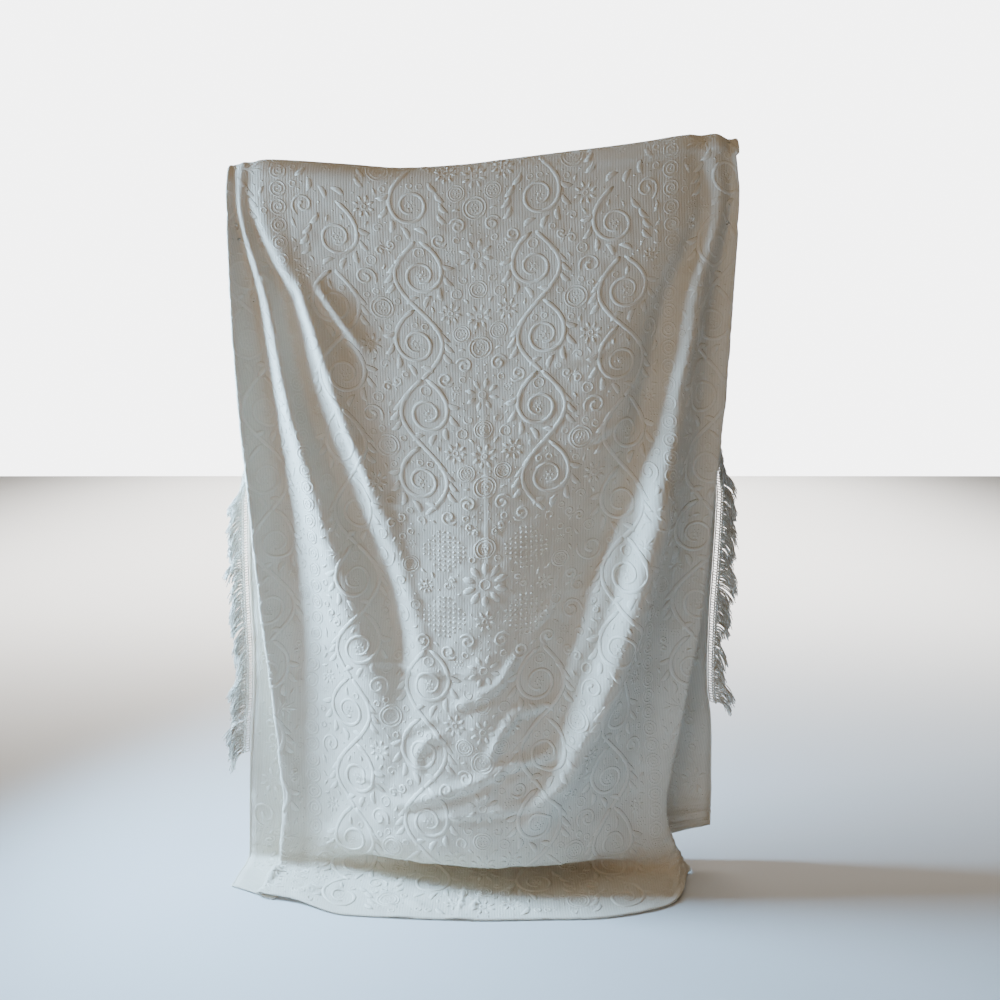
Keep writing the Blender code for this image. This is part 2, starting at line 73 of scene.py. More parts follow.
# --- the front, in millimetres: at each height above the floor in metres, across and
# depth of each station
STATIONS = ("edge_l", "dip_a", "ridge_a", "dip_b", "ridge_b", "dip_c", "crest",
            "ridge_d", "dip_d", "ridge_e", "dip_f", "edge_r")
SECTIONS = metres({
    1.88: ((-622, 0), (-605, 0), (-585, 0), (-560, 0), (-525, 0), (-480, 0), (-20, -1), (480, -2),
           (525, 0), (570, -2), (602, 1), (622, 0)),
    1.76: ((-634, -3), (-618, 4), (-600, -3), (-583, 1), (-556, -5), (-495, -4), (-20, -8),
           (500, -12), (545, -2), (588, -9), (614, 6), (634, -3)),
    1.51: ((-632, -8), (-580, 22), (-540, -12), (-500, 10), (-450, -18), (-395, -10), (-10, -22),
           (405, -36), (455, -6), (530, -34), (575, 12), (625, -8)),
    1.26: ((-622, -8), (-552, 28), (-492, -28), (-450, 6), (-370, -38), (-310, -30), (0, -48),
           (345, -54), (400, -18), (495, -60), (552, 4), (612, -10)),
    1.00: ((-602, -8), (-525, 28), (-418, -48), (-352, -6), (-268, -60), (-220, -56), (6, -82),
           (270, -70), (345, -52), (445, -100), (528, -6), (590, -12)),
    0.74: ((-583, -8), (-502, 20), (-340, -72), (-244, -32), (-180, -90), (-140, -94), (6, -118),
           (170, -108), (235, -96), (388, -140), (476, -16), (570, -14)),
    0.47: ((-556, -4), (-480, 12), (-270, -92), (-200, -100), (-140, -124), (-80, -136), (0, -150),
           (100, -144), (165, -134), (290, -160), (438, -26), (528, -12)),
    0.20: ((-535, 0), (-462, 4), (-285, -84), (-200, -124), (-130, -150), (-70, -162), (0, -170),
           (55, -168), (105, -160), (180, -140), (390, -34), (485, -6)),
})

# --- below the knee, in millimetres: lowest height of the belly, depth where it meets
# the floor, depth and across of its edge on the floor, and height of its middle there
KNEE = 0.20  # height where the foot starts
MIN_RUN = 0.01  # a shorter run on the floor is none
RUN_FADE = 0.02  # a side column's foot grows over this much of its run
FULL_RUN = 0.10  # run from which a front column's foot has its full form
FULL_BULGE = 0.12  # bulge from which the belly swings fully
TURN_HEIGHT = 0.05  # height over the belly's lowest point where it turns under
TUCK = 0.012  # how far the cloth tucks in behind where it meets the floor
TUCK_SHARE = 0.3  # the tuck's greatest share of the run
EARLY_SLIDE = 0.4  # share of the sideways slide that is done above the floor
FOOT = metres({
    "edge_l": (52, 0, -150, -574, 12.6),
    "dip_a": (50, 4, -172, -490, 10.5),
    "ridge_a": (66, 4, -238, -350, FLOOR_MID),
    "dip_b": (70, 0, -250, -245, FLOOR_MID),
    "ridge_b": (70, 0, -258, -150, FLOOR_MID),
    "dip_c": (68, 0, -262, -80, FLOOR_MID),
    "crest": (66, 0, -266, 0, FLOOR_MID),
    "ridge_d": (66, 0, -264, 70, FLOOR_MID),
    "dip_d": (66, 0, -262, 130, FLOOR_MID),
    "ridge_e": (64, 0, -258, 260, FLOOR_MID),
    "dip_f": (50, -14, -185, 480, FLOOR_MID),
    "edge_r": (50, -6, -26, 555, FLOOR_MID),
})

# --- the sides, turned back behind the front, in millimetres: inset of the inner fold,
# depths of the leg and of the return, and the hem's reach beyond the front fold
OUTWARD = {"left": -1, "right": 1}
SIDES = metres({
    "left": {
        1.88: (170, 14, 24, -85), 1.76: (175, 26, 44, -95), 1.51: (180, 52, 82, -90),
        1.26: (185, 60, 92, -62), 1.10: (185, 60, 92, -14), 1.00: (180, 60, 90, 18),
        0.86: (178, 58, 88, 32), 0.74: (175, 56, 86, 41), 0.60: (175, 52, 80, 50),
        0.47: (170, 48, 76, 66), 0.35: (170, 46, 74, 86), 0.20: (165, 44, 72, 106),
    },
    "right": {
        1.88: (170, 14, 24, -85), 1.76: (175, 26, 44, -95), 1.51: (180, 52, 82, -84),
        1.26: (185, 60, 92, -44), 1.12: (185, 60, 92, -2), 1.00: (180, 60, 90, 24),
        0.86: (178, 58, 88, 30), 0.74: (175, 56, 86, 34), 0.60: (175, 52, 80, 50),
        0.50: (170, 48, 76, 68), 0.40: (170, 46, 74, 96), 0.20: (165, 44, 72, 134),
    },
})
SIDE_UNDER = 0.050  # lowest height of the belly that a side layer makes
# where the side layers end, in millimetres, a row for each of their points from the
# front fold to the hem: height of the end above the floor, run forwards along the
# floor, slide outwards, and height of the layer's middle on the floor
SIDE_FOOT = metres({
    "left": (
        (0, 170, 45, 9), (0, 190, 63, 5.6), (0, 30, 10, 5.6), (0, 30, 0, 5.6),
        (0, 30, 0, 3.6), (0, 30, 0, FLOOR_MID), (0, 235, 20, FLOOR_MID), (0, 165, 15, FLOOR_MID),
    ),
    "right": (
        (0, 0, 66, FLOOR_MID), (10, 0, 55, FLOOR_MID), (50, 0, 15, FLOOR_MID),
        (50, 0, 0, FLOOR_MID),
        (50, 0, 0, FLOOR_MID), (50, 0, 0, FLOOR_MID), (60, 0, 0, FLOOR_MID),
        (92, 0, 0, FLOOR_MID),
    ),
})

# --- the crest of the top edge, in millimetres: across, height above the held point
CREST = metres(((-640, -12), (-600, -2), (-530, 4), (-350, -6), (-200, -17), (-50, -10), (50, 1),
                (200, 17), (400, 40), (500, 58), (530, 64), (590, 62), (640, 54)))

# --- steps of the mesh; each row and column count is even, for the coarser back
FRONT_STEPS = (12, 16, 16, 14, 8, 42, 42, 14, 14, 16, 14)
SIDE_STEPS = (2, 2, 4, 4, 2, 2, 4, 6)
ROLL_ROWS = 12
HANG_ROWS = 210
FOOT_STEPS = (5, 5, 5, 5, 5, 5, 5, 9, 16)
FOOT_ROWS = sum(FOOT_STEPS)
FLOOR_STEP = sum(FOOT_STEPS[:7]) - 1
LEVELS = 240  # cross sections that the rows are read from
SIDE_COUNT = sum(SIDE_STEPS)
CREST_COLUMN = SIDE_COUNT + sum(FRONT_STEPS[:STATIONS.index("crest")])

# --- small creases of the front, in millimetres: amount, width, and a path of across
# and height.  A positive amount stands forward, with a shallow valley beside it, on
# the right of its path.
CREASES = metres((
    (10.5, 14, ((-230, 225), (-140, 262), (-50, 296), (56, 350), (215, 395))),
    (9, 13, ((10, 350), (40, 430), (85, 490), (190, 512))),
    (8.5, 13, ((-90, 490), (-20, 520), (40, 560), (95, 650))),
    (8, 11, ((-120, 215), (20, 236), (120, 250), (215, 318))),
    (7, 12, ((-163, 312), (-168, 370), (-136, 415), (-70, 432))),
    (4.5, 9, ((-310, 612), (-225, 592), (-167, 582), (0, 584))),
    (3, 8, ((-254, 1003), (-190, 997), (-133, 999))),
    (1.8, 6, ((-285, 762), (-108, 774), (11, 778), (143, 786), (330, 798))),
    (1.6, 6, ((-4, 1300), (1, 1220), (9, 1067), (11, 820))),
    (12, 16, ((-430, 1572), (-392, 1512), (-350, 1452), (-285, 1368))),
    (3.5, 10, ((160, 1345), (230, 1362), (300, 1388), (385, 1420))),
    (3, 9, ((110, 690), (160, 735), (185, 800))),
    (3.5, 10, ((200, 1160), (280, 1175), (350, 1215))),
    (3, 12, ((-560, 1640), (-520, 1600), (-470, 1560))),
    (5, 12, ((-30, 246), (20, 290), (50, 352))),
    (4.5, 10, ((-345, 300), (-270, 285), (-200, 262))),
    (-8, 16, ((395, 1020), (350, 855), (315, 739), (270, 623), (228, 533), (169, 412))),
    (23, 33, ((63, 154), (134, 221), (212, 321), (243, 396), (300, 511), (344, 629), (384, 751),
              (416, 886), (441, 965), (453, 1125))),
    (6, 14, ((-462, 1566), (-373, 1277), (-289, 1065), (-266, 1000))),
    (-6, 13, ((585, 1560), (560, 1450), (520, 1330), (495, 1240))),
    (4, 10, ((-210, 420), (-120, 470), (-40, 440))),
    (4.5, 11, ((60, 300), (130, 345), (200, 430))),
))
# creases of the cloth on the floor, the same with depth in place of height
FLOOR_CREASES = metres((
    (5, 7, ((-48, -70), (-52, -150), (-62, -235))),
    (4.5, 7, ((2, -85), (-10, -150), (-30, -225))),
    (3, 8, ((285, -75), (270, -130), (255, -200))),
    (4, 12, ((-400, -60), (-380, -120), (-400, -190))),
    (3.5, 12, ((420, -50), (385, -110), (395, -165))),
    (3, 14, ((-300, -110), (-210, -150), (-140, -215))),
    (12, 11, ((-544, 30), (-559, -48), (-569, -120))),
    (6, 12, ((-430, -50), (-445, -110), (-490, -165))),
    (6, 10, ((-600, 10), (-612, -40), (-606, -90))),
    (5, 10, ((-330, -45), (-270, -75), (-190, -85))),
))


# === the cloth's shape ===
def unit(ways, least=0.0):
    """Directions of length one; least keeps a vanishing one from a division by nothing."""
    return ways / (np.linalg.norm(ways, axis=-1, keepdims=True) + least)


def run_along(line):
    """Distance along a line at each of its points."""
    return np.concatenate([[0], np.cumsum(np.linalg.norm(np.diff(line, axis=0), axis=1))])


def hermite(t, first, last, leave, reach):
    """Smooth way from first to last, with a slope at each of them."""
    t2, t3 = t * t, t * t * t
    return ((2 * t3 - 3 * t2 + 1) * first + (t3 - 2 * t2 + t) * leave
            + (3 * t2 - 2 * t3) * last + (t3 - t2) * reach)


def ease_curve(keys, values, at):
    """Smooth curve through (keys, values), with a slope that never overshoots."""
    order = np.argsort(keys)
    keys = np.asarray(keys, float)[order]
    values = np.asarray(values, float)[order]
    step = np.diff(keys)
    rise = np.diff(values) / step
    slope = np.zeros(len(keys))
    slope[0], slope[-1] = rise[0], rise[-1]
    for i in range(1, len(keys) - 1):
        if rise[i - 1] * rise[i] > 0:
            w1 = 2 * step[i] + step[i - 1]
            w2 = step[i] + 2 * step[i - 1]
            slope[i] = (w1 + w2) / (w1 / rise[i - 1] + w2 / rise[i])
    at = np.clip(at, keys[0], keys[-1])
    i = np.clip(np.searchsorted(keys, at) - 1, 0, len(step) - 1)
    t = (at - keys[i]) / step[i]
    return hermite(t, values[i], values[i + 1], step[i] * slope[i], step[i] * slope[i + 1])


def through(points, steps):
    """Points of a smooth curve through the given ones, steps[i] to each stretch."""
    points = np.asarray(points, float)
    first = 2 * points[0] - points[1]
    last = 2 * points[-1] - points[-2]
    p = np.vstack([first, points, last])
    out = []
    for i, count in enumerate(steps):
        a, b, c, d = p[i:i + 4]
        ab, bc, cd = (np.linalg.norm(way[:2]) ** 0.5 + 1e-6 for way in (b - a, c - b, d - c))
        start = ((b - a) / ab - (c - a) / (ab + bc) + (c - b) / bc) * bc
        end = ((c - b) / bc - (d - b) / (bc + cd) + (d - c) / cd) * bc
        out.append(hermite((np.arange(count) / count)[:, None], b, c, start, end))
    out.append(points[-1:])
    return np.concatenate(out)


def at_height(table, height):
    """The rows of a height table, eased to one height, as one flat list."""
    heights = sorted(table)
    rows = np.array([table[h] for h in heights]).reshape(len(heights), -1)
    return [float(ease_curve(heights, column, height)) for column in rows.T]


def side_points(edge, height, side):
    """The turned back side, from just behind the front fold out to the hem."""
    inset, leg, ret, hem = at_height(SIDES[side], height)
    outward = OUTWARD[side]
    edge_x, edge_y = edge
    turn_x = edge_x - outward * inset
    hem_x = edge_x + outward * hem
    return [
        (edge_x - outward * 0.003, (edge_y + leg) / 2),
        (edge_x - outward * 0.026, leg),
        (edge_x - outward * inset * 0.55, leg + 0.003),
        (turn_x + outward * 0.012, leg + 0.002),
        (turn_x, (leg + ret) / 2),
        (turn_x + outward * 0.012, ret - 0.001),
        (0.45 * turn_x + 0.55 * hem_x, ret + 0.002),
        (hem_x, ret),
    ]


def cross_section(height):
    """The cloth's middle line at one height, from the left hem to the right."""
    values = at_height(SECTIONS, height)
    front = list(zip(values[::2], values[1::2]))
    left = side_points(front[0], height, "left")[::-1]
    right = side_points(front[-1], height, "right")
    return through(left + front + right, SIDE_STEPS[::-1] + FRONT_STEPS + SIDE_STEPS)


def column_foot():
    """Foot values for each front column, and for each side column from the fold."""
    stations = np.concatenate([[0], np.cumsum(FRONT_STEPS)])
    every = np.arange(stations[-1] + 1)
    front = np.stack([ease_curve(stations, column, every)
                      for column in zip(*(FOOT[name] for name in STATIONS))], axis=1)
    keys = np.concatenate([[0], np.cumsum(SIDE_STEPS)])
    at = np.arange(1, keys[-1] + 1)
    sides = {side: np.stack([np.interp(at, keys, column)
                             for column in zip(first_knot(side), *SIDE_FOOT[side])], axis=1)
             for side in OUTWARD}
    return front, sides


def first_knot(side):
    """The front fold's own values in the side foot's columns."""
    name, place = ("edge_l", 0) if side == "left" else ("edge_r", -1)
    _, back, out, across, level = FOOT[name]
    return 0.0, back - out, abs(across) - abs(SECTIONS[KNEE][place][0]), level


def plumb_path(knee, stop, across):
    """Down from the knee to a height above the floor, with a lean to one side."""
    share = np.sqrt(np.arange(1, FOOT_ROWS + 1) / FOOT_ROWS)
    line = np.tile(knee, (FOOT_ROWS, 1))
    line[:, 2] = KNEE + (stop + CLOTH - KNEE) * share
    travel = (KNEE - line[:, 2]) / KNEE
    line[:, 0] += (across - knee[0]) * travel * travel
    return line


def side_path(knee, values, outward):
    """A side column's foot, made as the front's is."""
    stop, run, slide, level = values
    x, y, _ = knee
    share = np.clip((run - MIN_RUN) / RUN_FADE, 0, 1)
    return foot_path(knee, (SIDE_UNDER, y, y - run, x + outward * slide, level), stop, share)


def foot_path(knee, values, stop, share):
    """Down from the knee, under the belly, back to the floor and out along it.

    A share below 1 draws it towards the straight way down.
    """
    under, back, out, across, level = values
    x, y, _ = knee
    bulge = max(0.0, back - y)
    swing = min(1.0, bulge / FULL_BULGE)
    calm = 1 - swing
    turn = under + TURN_HEIGHT
    behind = back + TUCK * swing
    length = back - out
    plumb = plumb_path(knee, stop, across)
    if length < MIN_RUN:
        return plumb
    points = [
        (x, y, KNEE),
        (x, y + 0.002 * swing, 0.5 * (KNEE + turn)),
        (x, y + 0.006 * swing, turn),
        (x, y + bulge * 0.24, under + 0.006 + 0.018 * calm),
        (x, y + bulge * 0.66, under - 0.004 - 0.006 * calm),
        (x, behind, 0.60 * under),
        (x, behind - 0.002, level + 0.010),
        (x, back - min(TUCK, TUCK_SHARE * length), level + 0.001),
        (x, 0.5 * (back + out), level),
        (x, out, level),
    ]
    turned = [(p[1], p[2], p[0]) for p in points]
    line = through(turned, FOOT_STEPS)[1:, [2, 0, 1]]
    travel = np.clip((KNEE - line[:, 2]) / KNEE, 0, 1)
    run = np.clip((back - line[:, 1]) / length, 0, 1)
    on_floor = np.arange(len(line)) >= FLOOR_STEP
    slide = np.where(on_floor, EARLY_SLIDE + (1 - EARLY_SLIDE) * run, EARLY_SLIDE * travel)
    line[:, 0] = x + (across - x) * slide
    return plumb + (line - plumb) * share


def roll_rows(top_line, bend_at):
    """Rows over the top edge, from its turned-back end to where it starts to hang."""
    radius = ROLL - top_line[:, 1]
    return [np.stack([top_line[:, 0], ROLL - radius * np.cos(angle),
                      bend_at + radius * np.sin(angle)], axis=1)
            for angle in np.radians(np.linspace(ROLL_TURN, 0, ROLL_ROWS + 1))[:-1]]


def hanging_rows(bend_at):
    """Rows from there down to the knee."""
    levels = np.linspace(KNEE, max(SECTIONS), LEVELS)
    lines = np.array([cross_section(height) for height in levels])
    rows = []
    for share in np.linspace(0, 1, HANG_ROWS + 1):
        heights = bend_at + (KNEE - bend_at) * share
        places = [[np.interp(height, levels, lines[:, c, axis])
                   for c, height in enumerate(heights)] for axis in (0, 1)]
        rows.append(np.stack([*places, heights], axis=1))
    return rows


def foot_rows(knee):
    """Rows from the knee to the cloth's end on the floor."""
    columns = len(knee)
    front, sides = column_foot()
    foot = np.zeros((FOOT_ROWS, columns, 3))
    for c in range(SIDE_COUNT, columns - SIDE_COUNT):
        _, back, out, _, _ = front[c - SIDE_COUNT]
        share = min(1.0, (back - out) / FULL_RUN)
        foot[:, c] = foot_path(knee[c], front[c - SIDE_COUNT], 0.0, share)
    for step in range(SIDE_COUNT):
        for side, c in (("left", SIDE_COUNT - 1 - step), ("right", columns - SIDE_COUNT + step)):
            foot[:, c] = side_path(knee[c], sides[side][step], OUTWARD[side])
    return list(foot)


def build_grid():
    """Middle surface of the whole cloth: rows down, columns across."""
    top_line = cross_section(HANG - ROLL)
    bend_at = HANG + ease_curve(*zip(*CREST), top_line[:, 0]) - ROLL
    rows = roll_rows(top_line, bend_at) + hanging_rows(bend_at)
    return np.array(rows + foot_rows(rows[-1]))


def middle_way(grid, axis):
    """Mean unit direction of the two steps beside each grid point."""
    step = unit(np.diff(grid, axis=axis), TINY)
    first = np.take(step, [0], axis=axis)
    last = np.take(step, [-1], axis=axis)
    return np.concatenate([first, step], axis=axis) + np.concatenate([step, last], axis=axis)


def normals(grid):
    """Unit normals of the middle surface at its grid points."""
    return unit(np.cross(middle_way(grid, 0), middle_way(grid, 1)))


# === creases and soft puckers ===
def crease_lift(flat_x, flat_y, creases):
    """How far each point is lifted by a list of creases, from two plane coordinates."""
    lift = np.zeros_like(flat_x)
    for amount, width, path in creases:
        path = np.array(path)
        run = np.diff(path, axis=0)
        length = np.linalg.norm(run, axis=1)
        dx, dy = flat_x[..., None] - path[:-1, 0], flat_y[..., None] - path[:-1, 1]
        share = np.clip((dx * run[:, 0] + dy * run[:, 1]) / length ** 2, 0, 1)
        gap = np.hypot(dx - share * run[:, 0], dy - share * run[:, 1])
        side = np.sign(run[:, 0] * dy - run[:, 1] * dx)
        closest = np.argmin(gap, axis=-1)[..., None]
        signed = np.take_along_axis(gap * side, closest, axis=-1)[..., 0]
        along = run_along(path)[:-1] + share * length
        along = np.take_along_axis(along, closest, axis=-1)[..., 0]
        ends = np.clip(np.minimum(along, length.sum() - along) / (4 * width), 0, 1)
        fade = 0.08 + 0.92 * ends * ends * (3 - 2 * ends)
        u = signed / width
        shape = np.exp(-u * u) - 0.55 * np.exp(-((u + 1.7) ** 2) / 1.3)
        lift += amount * shape * fade
    return lift


def puckers(across, down, seed, count, longest, shortest):
    """Soft unevenness of about unit height, from waves of many directions."""
    rng = np.random.default_rng(seed)
    total = np.zeros_like(across)
    for _ in range(count):
        length = shortest * (longest / shortest) ** rng.random()
        angle = rng.random() * 2 * math.pi
        phase = rng.random() * 2 * math.pi
        way = across * math.cos(angle) + down * math.sin(angle)
        total += np.sin(2 * math.pi / length * way + phase)
    return total / math.sqrt(count)


def flat_coordinates(grid):
    """Across and down on the flat cloth, from the crest column and the bend's row."""
    steps = np.linalg.norm(np.diff(grid, axis=1), axis=2)
    across = np.concatenate([np.zeros((len(grid), 1)), np.cumsum(steps, axis=1)], axis=1)
    across -= across[:, CREST_COLUMN:CREST_COLUMN + 1]
    drop = np.linalg.norm(np.diff(grid[:, SIDE_COUNT:-SIDE_COUNT], axis=0), axis=2).mean(axis=1)
    down = np.concatenate([[0], np.cumsum(drop)])
    down -= down[ROLL_ROWS]
    return across, down


def creased(grid, normal, across, down):
    """The grid with its small creases and puckers."""
    front = np.zeros(grid.shape[:2])
    front[:, SIDE_COUNT:-SIDE_COUNT] = 1.0
    x, y, z = grid[:, :, 0], grid[:, :, 1], grid[:, :, 2]
    upright = front * (np.arange(len(grid)) < ROLL_ROWS + HANG_ROWS + 12)[:, None]
    corner = front.copy()
    corner[:, SIDE_COUNT - sum(SIDE_STEPS[-2:]):SIDE_COUNT] = 1.0
    on_floor = corner * (np.arange(len(grid)) > len(grid) - sum(FOOT_STEPS[-2:]))[:, None]
    down_all = np.repeat(down[:, None], grid.shape[1], axis=1)
    lift = crease_lift(x, z, CREASES) * upright
    lift += crease_lift(x, y, FLOOR_CREASES) * on_floor
    low = np.clip((0.85 - z) / 0.6, 0, 1)
    hanging = np.clip(down_all / 0.12, 0, 1) * (1 + on_floor * 0.6)
    lift += puckers(across, down_all, 3, 26, 0.20, 0.045) * (0.0007 + 0.0009 * low) * hanging
    lift += puckers(across * 0.6, down_all, 5, 16, 0.035, 0.016) * 0.00035 * hanging
    lift = np.where(on_floor > 0, np.maximum(lift, 0) * (normal[:, :, 2] > 0), lift)
    return grid + normal * lift[:, :, None]


# === mesh helpers ===
def linked(name, data):
    """A new object in the scene."""
    item = bpy.data.objects.new(name, data)
    bpy.context.scene.collection.objects.link(item)
    return item


def new_object(name, points, faces, material, flat=None):
    """One named object; flat holds each point's place on the flat cloth."""
    mesh = bpy.data.meshes.new(name)
    mesh.from_pydata(np.asarray(points).tolist(), [], faces)
    mesh.update()
    mesh.polygons.foreach_set("use_smooth", [True] * len(mesh.polygons))
    if flat is not None:
        layer = mesh.attributes.new("flat", "FLOAT_VECTOR", "POINT")
        layer.data.foreach_set("vector", np.asarray(flat, np.float32).ravel())
    mesh.materials.append(material)
    item = linked(name, mesh)
    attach(item, "root")
    return item


def quads(rows, columns, first=0):
    """Corner ids of the faces between the points of a grid."""
    a = (np.arange(rows - 1)[:, None] * columns + np.arange(columns - 1)).ravel() + first
    return np.stack([a, a + columns, a + columns + 1, a + 1], axis=1)


def rim(rows, columns, first=0):
    """Corner ids round a grid of points, from its first point and back to it."""
    ids = first + np.arange(rows * columns).reshape(rows, columns)
    return np.concatenate([ids[:, 0], ids[-1, 1:], ids[-2::-1, -1], ids[0, -2::-1]])


def make_cloth(grid, normal, across, down, material):
    """The sheet: a fine outer face, a back face at half the steps, closed at the rim."""
    rows, columns = grid.shape[:2]
    outer = grid + normal * (CLOTH / 2)
    inner = (grid - normal * (CLOTH / 2))[::2, ::2]
    down_all = np.repeat(down[:, None], columns, axis=1)
    flat = np.stack([across, down_all, np.zeros_like(across)], axis=2)
    points = np.concatenate([outer.reshape(-1, 3), inner.reshape(-1, 3)])
    flats = np.concatenate([flat.reshape(-1, 3), flat[::2, ::2].reshape(-1, 3)])
    back = (*inner.shape[:2], rows * columns)
    faces = quads(rows, columns).tolist() + quads(*back)[:, [0, 3, 2, 1]].tolist()
    out, behind = rim(rows, columns), rim(*back)
    faces += np.stack([out[:-1:2], behind[:-1], behind[1:], out[2::2], out[1::2]], axis=1).tolist()
    return new_object("bedspread_cloth", points, faces, material, flats)


HALVINGS = 9  # enough to find one column among all


class Surface:
    """Finds points on one face of the cloth from places on the flat cloth."""

    def __init__(self, grid, normal, across, down):
        self.grid = grid + normal * (CLOTH / 2)
        self.normal = normal
        self.across = across
        self.down = down

    def holds(self, line):
        """Whether a whole stroke lies on the cloth, clear of its hems."""
        s, t = line[:, 0], line[:, 1]
        if t.min() < self.down[0] + EDGE or t.max() > self.down[-1] - EDGE:
            return False
        row = np.searchsorted(self.down, t) - 1
        hem_l, hem_r = self.across[row, 0] + EDGE, self.across[row, -1] - EDGE
        return bool(np.all(s > hem_l) and np.all(s < hem_r))

    def spot(self, s, t):
        """Row, column and shares between grid points of flat places."""
        r = np.interp(t, self.down, np.arange(len(self.down)))
        r0 = np.clip(np.floor(r).astype(int), 0, len(self.down) - 2)
        fr = r - r0
        low = np.zeros(len(s), int)
        high = np.full(len(s), self.across.shape[1] - 1)
        for _ in range(HALVINGS):
            mid = (low + high) // 2
            here = self.across[r0, mid] * (1 - fr) + self.across[r0 + 1, mid] * fr
            right = here <= s
            low = np.where(right, mid, low)
            high = np.where(right, high, mid)
        c0 = np.clip(low, 0, self.across.shape[1] - 2)
        left = self.across[r0, c0] * (1 - fr) + self.across[r0 + 1, c0] * fr
        reach = self.across[r0, c0 + 1] * (1 - fr) + self.across[r0 + 1, c0 + 1] * fr
        fc = np.clip((s - left) / (reach - left + TINY), 0, 1)
        return r0, c0, fr, fc

    def place(self, s, t, up):
        """Points at a height above the face."""
        r, c, fr, fc = self.spot(s, t)
        fr, fc = fr[:, None], fc[:, None]
        point = np.zeros((len(s), 3))
        way = np.zeros((len(s), 3))
        for dr, wr in ((0, 1 - fr), (1, fr)):
            for dc, wc in ((0, 1 - fc), (1, fc)):
                point += self.grid[r + dr, c + dc] * (wr * wc)
                way += self.normal[r + dr, c + dc] * (wr * wc)
        return point + unit(way) * up[:, None]


# === the raised pattern ===
# A generic layout of its own: wavy vines with a scroll in each bend, daisies, rings,
# leaves and small tufted fields fill a repeat that is the same on both sides of the
# middle.
LINE = 0.0060  # width of a line of pile
PILE = 0.0011  # height of the pile
SUNK = -0.0005  # how deep the pile's foot lies under the face
PRESSED = ((0.08, 0.32, 0.60, 0.90), (0.42, 0.46, 0.72, 1.0))  # distances down, shares of PILE
BACK_SHARE = 0.5  # width of the stitch lines on the back against the pile
BEAD = 0.0120  # from tuft to tuft along a line
STEP = 0.0056  # length of a segment of the rings and scrolls
REPEAT = 0.36  # height of the pattern's repeat
REPEATS = 8  # repeats down the whole cloth
HALF_WIDTH = 1.075  # from the middle to the plain border at the hem
GAP = 0.0030  # least space between two motifs
EDGE = 0.012  # plain border along the hems
PATTERN_SEED = 21
# radius, greatest number and tries of the motifs that fill a repeat
SIZES = ((0.038, 4, 500), (0.030, 12, 1200), (0.0220, 40, 2600),
         (0.0150, 110, 4500), (0.0100, 240, 7000), (0.0060, 520, 12000))
# across, side of the first bend and drop of each vine
VINES = ((0.150, 1, 0.0), (0.355, -1, REPEAT / 4), (0.620, 1, 0.0), (0.825, -1, REPEAT / 4))
WAVE = 0.056  # how far a vine's stem swings to each side
SCROLL = 0.052  # radius of the scroll in a bend
SCROLL_SHIFT = 0.010  # how far the scroll lies beyond the vine's middle
SCROLL_TURNS = 1.55
EYE = 0.018  # radius that a scroll keeps free at its eye
LOBE = 0.037  # length of the leaves along vines and scrolls
CHAIN = 0.487  # how far the chain of rings runs from the middle
CHAIN_ROOM = 0.021  # kept free to each side of it
MEDALLION_REPEAT = 3  # which repeat holds the medallion
SEAM = 0.075  # how far from a repeat's seam its motifs stay the same
FIRST_TOP = -0.22  # where the first repeat starts, down from the top
# height in the repeat and radius of the flowers and rings on the middle line
MIDDLE = ((0.045, 0.044), (0.135, 0.024), (0.205, 0.034), (0.285, 0.030))
MEDALLION = ((0.180, 0.060), (0.085, 0.028), (0.275, 0.028))
RINGS = 8  # rings of the chain in a repeat
RING_SIZES = (0.0185, 0.0100)
FIELD = 0.052  # half the width of a tufted field
FIELD_ROOM = 1.16 * FIELD  # radius kept free for it
FIELD_PITCH = 0.0128  # from tuft to tuft in it
FIELDS = ((0.104, 0.092), (0.104, 0.268))


def polar(angle, reach):
    """Steps across and down of a reach at an angle in degrees."""
    a = math.radians(angle)
    return reach * math.cos(a), reach * math.sin(a)


def ring(cx, cy, radius, wide=LINE * 0.9):
    """A closed ring."""
    count = max(7, int(2 * math.pi * radius / STEP))
    a = np.linspace(0, 2 * math.pi, count + 1)[:-1]
    return np.stack([cx + radius * np.cos(a), cy + radius * np.sin(a)], axis=1), wide, True


def scroll(cx, cy, radius, start, turns=1.35, hand=1, wide=LINE):
    """A spiral that winds in from its outer end and thickens at its eye."""
    count = max(8, int(2 * math.pi * turns * radius * 0.62 / STEP))
    u = np.linspace(0, 1, count + 1)
    a = math.radians(start) + hand * 2 * math.pi * turns * u
    r = radius * (1 - 0.84 * u ** 0.9)
    line = np.stack([cx + r * np.cos(a), cy + r * np.sin(a)], axis=1)
    return line, wide * (0.9 + 0.5 * u ** 3), False


def leaf(x, y, angle, length, wide, bow=0.12):
    """A pointed leaf, a little bowed; widths run from point to point."""
    count = max(3, int(length / 0.008))
    u = np.linspace(0, 1, count + 1)
    way = np.array(polar(angle, 1.0))
    across = np.array([-way[1], way[0]])
    bowed = np.outer(np.sin(math.pi * u) * bow * length, across)
    line = np.array([x, y]) + np.outer(u * length, way) + bowed
    return line, wide * (0.18 + 0.82 * np.sin(math.pi * u) ** 0.8), False


def tuft(x, y, size=0.0056):
    """One short tuft."""
    line = np.array([(x - size / 2, y), (x, y), (x + size / 2, y)])
    return line, size * np.array([0.4, 1.0, 0.4]), False


def spray(cx, cy, radius, pitch=0.0082):
    """A round field of tufts in offset rows."""
    strokes = []
    rows = int(radius / pitch)
    for k in range(-rows, rows + 1):
        y = cy + k * pitch
        reach = math.sqrt(max(0.0, radius ** 2 - (y - cy) ** 2))
        for j in range(-rows, rows + 1):
            x = cx + (j + 0.5 * (k % 2)) * pitch
            if abs(x - cx) <= reach:
                strokes.append(tuft(x, y))
    return strokes


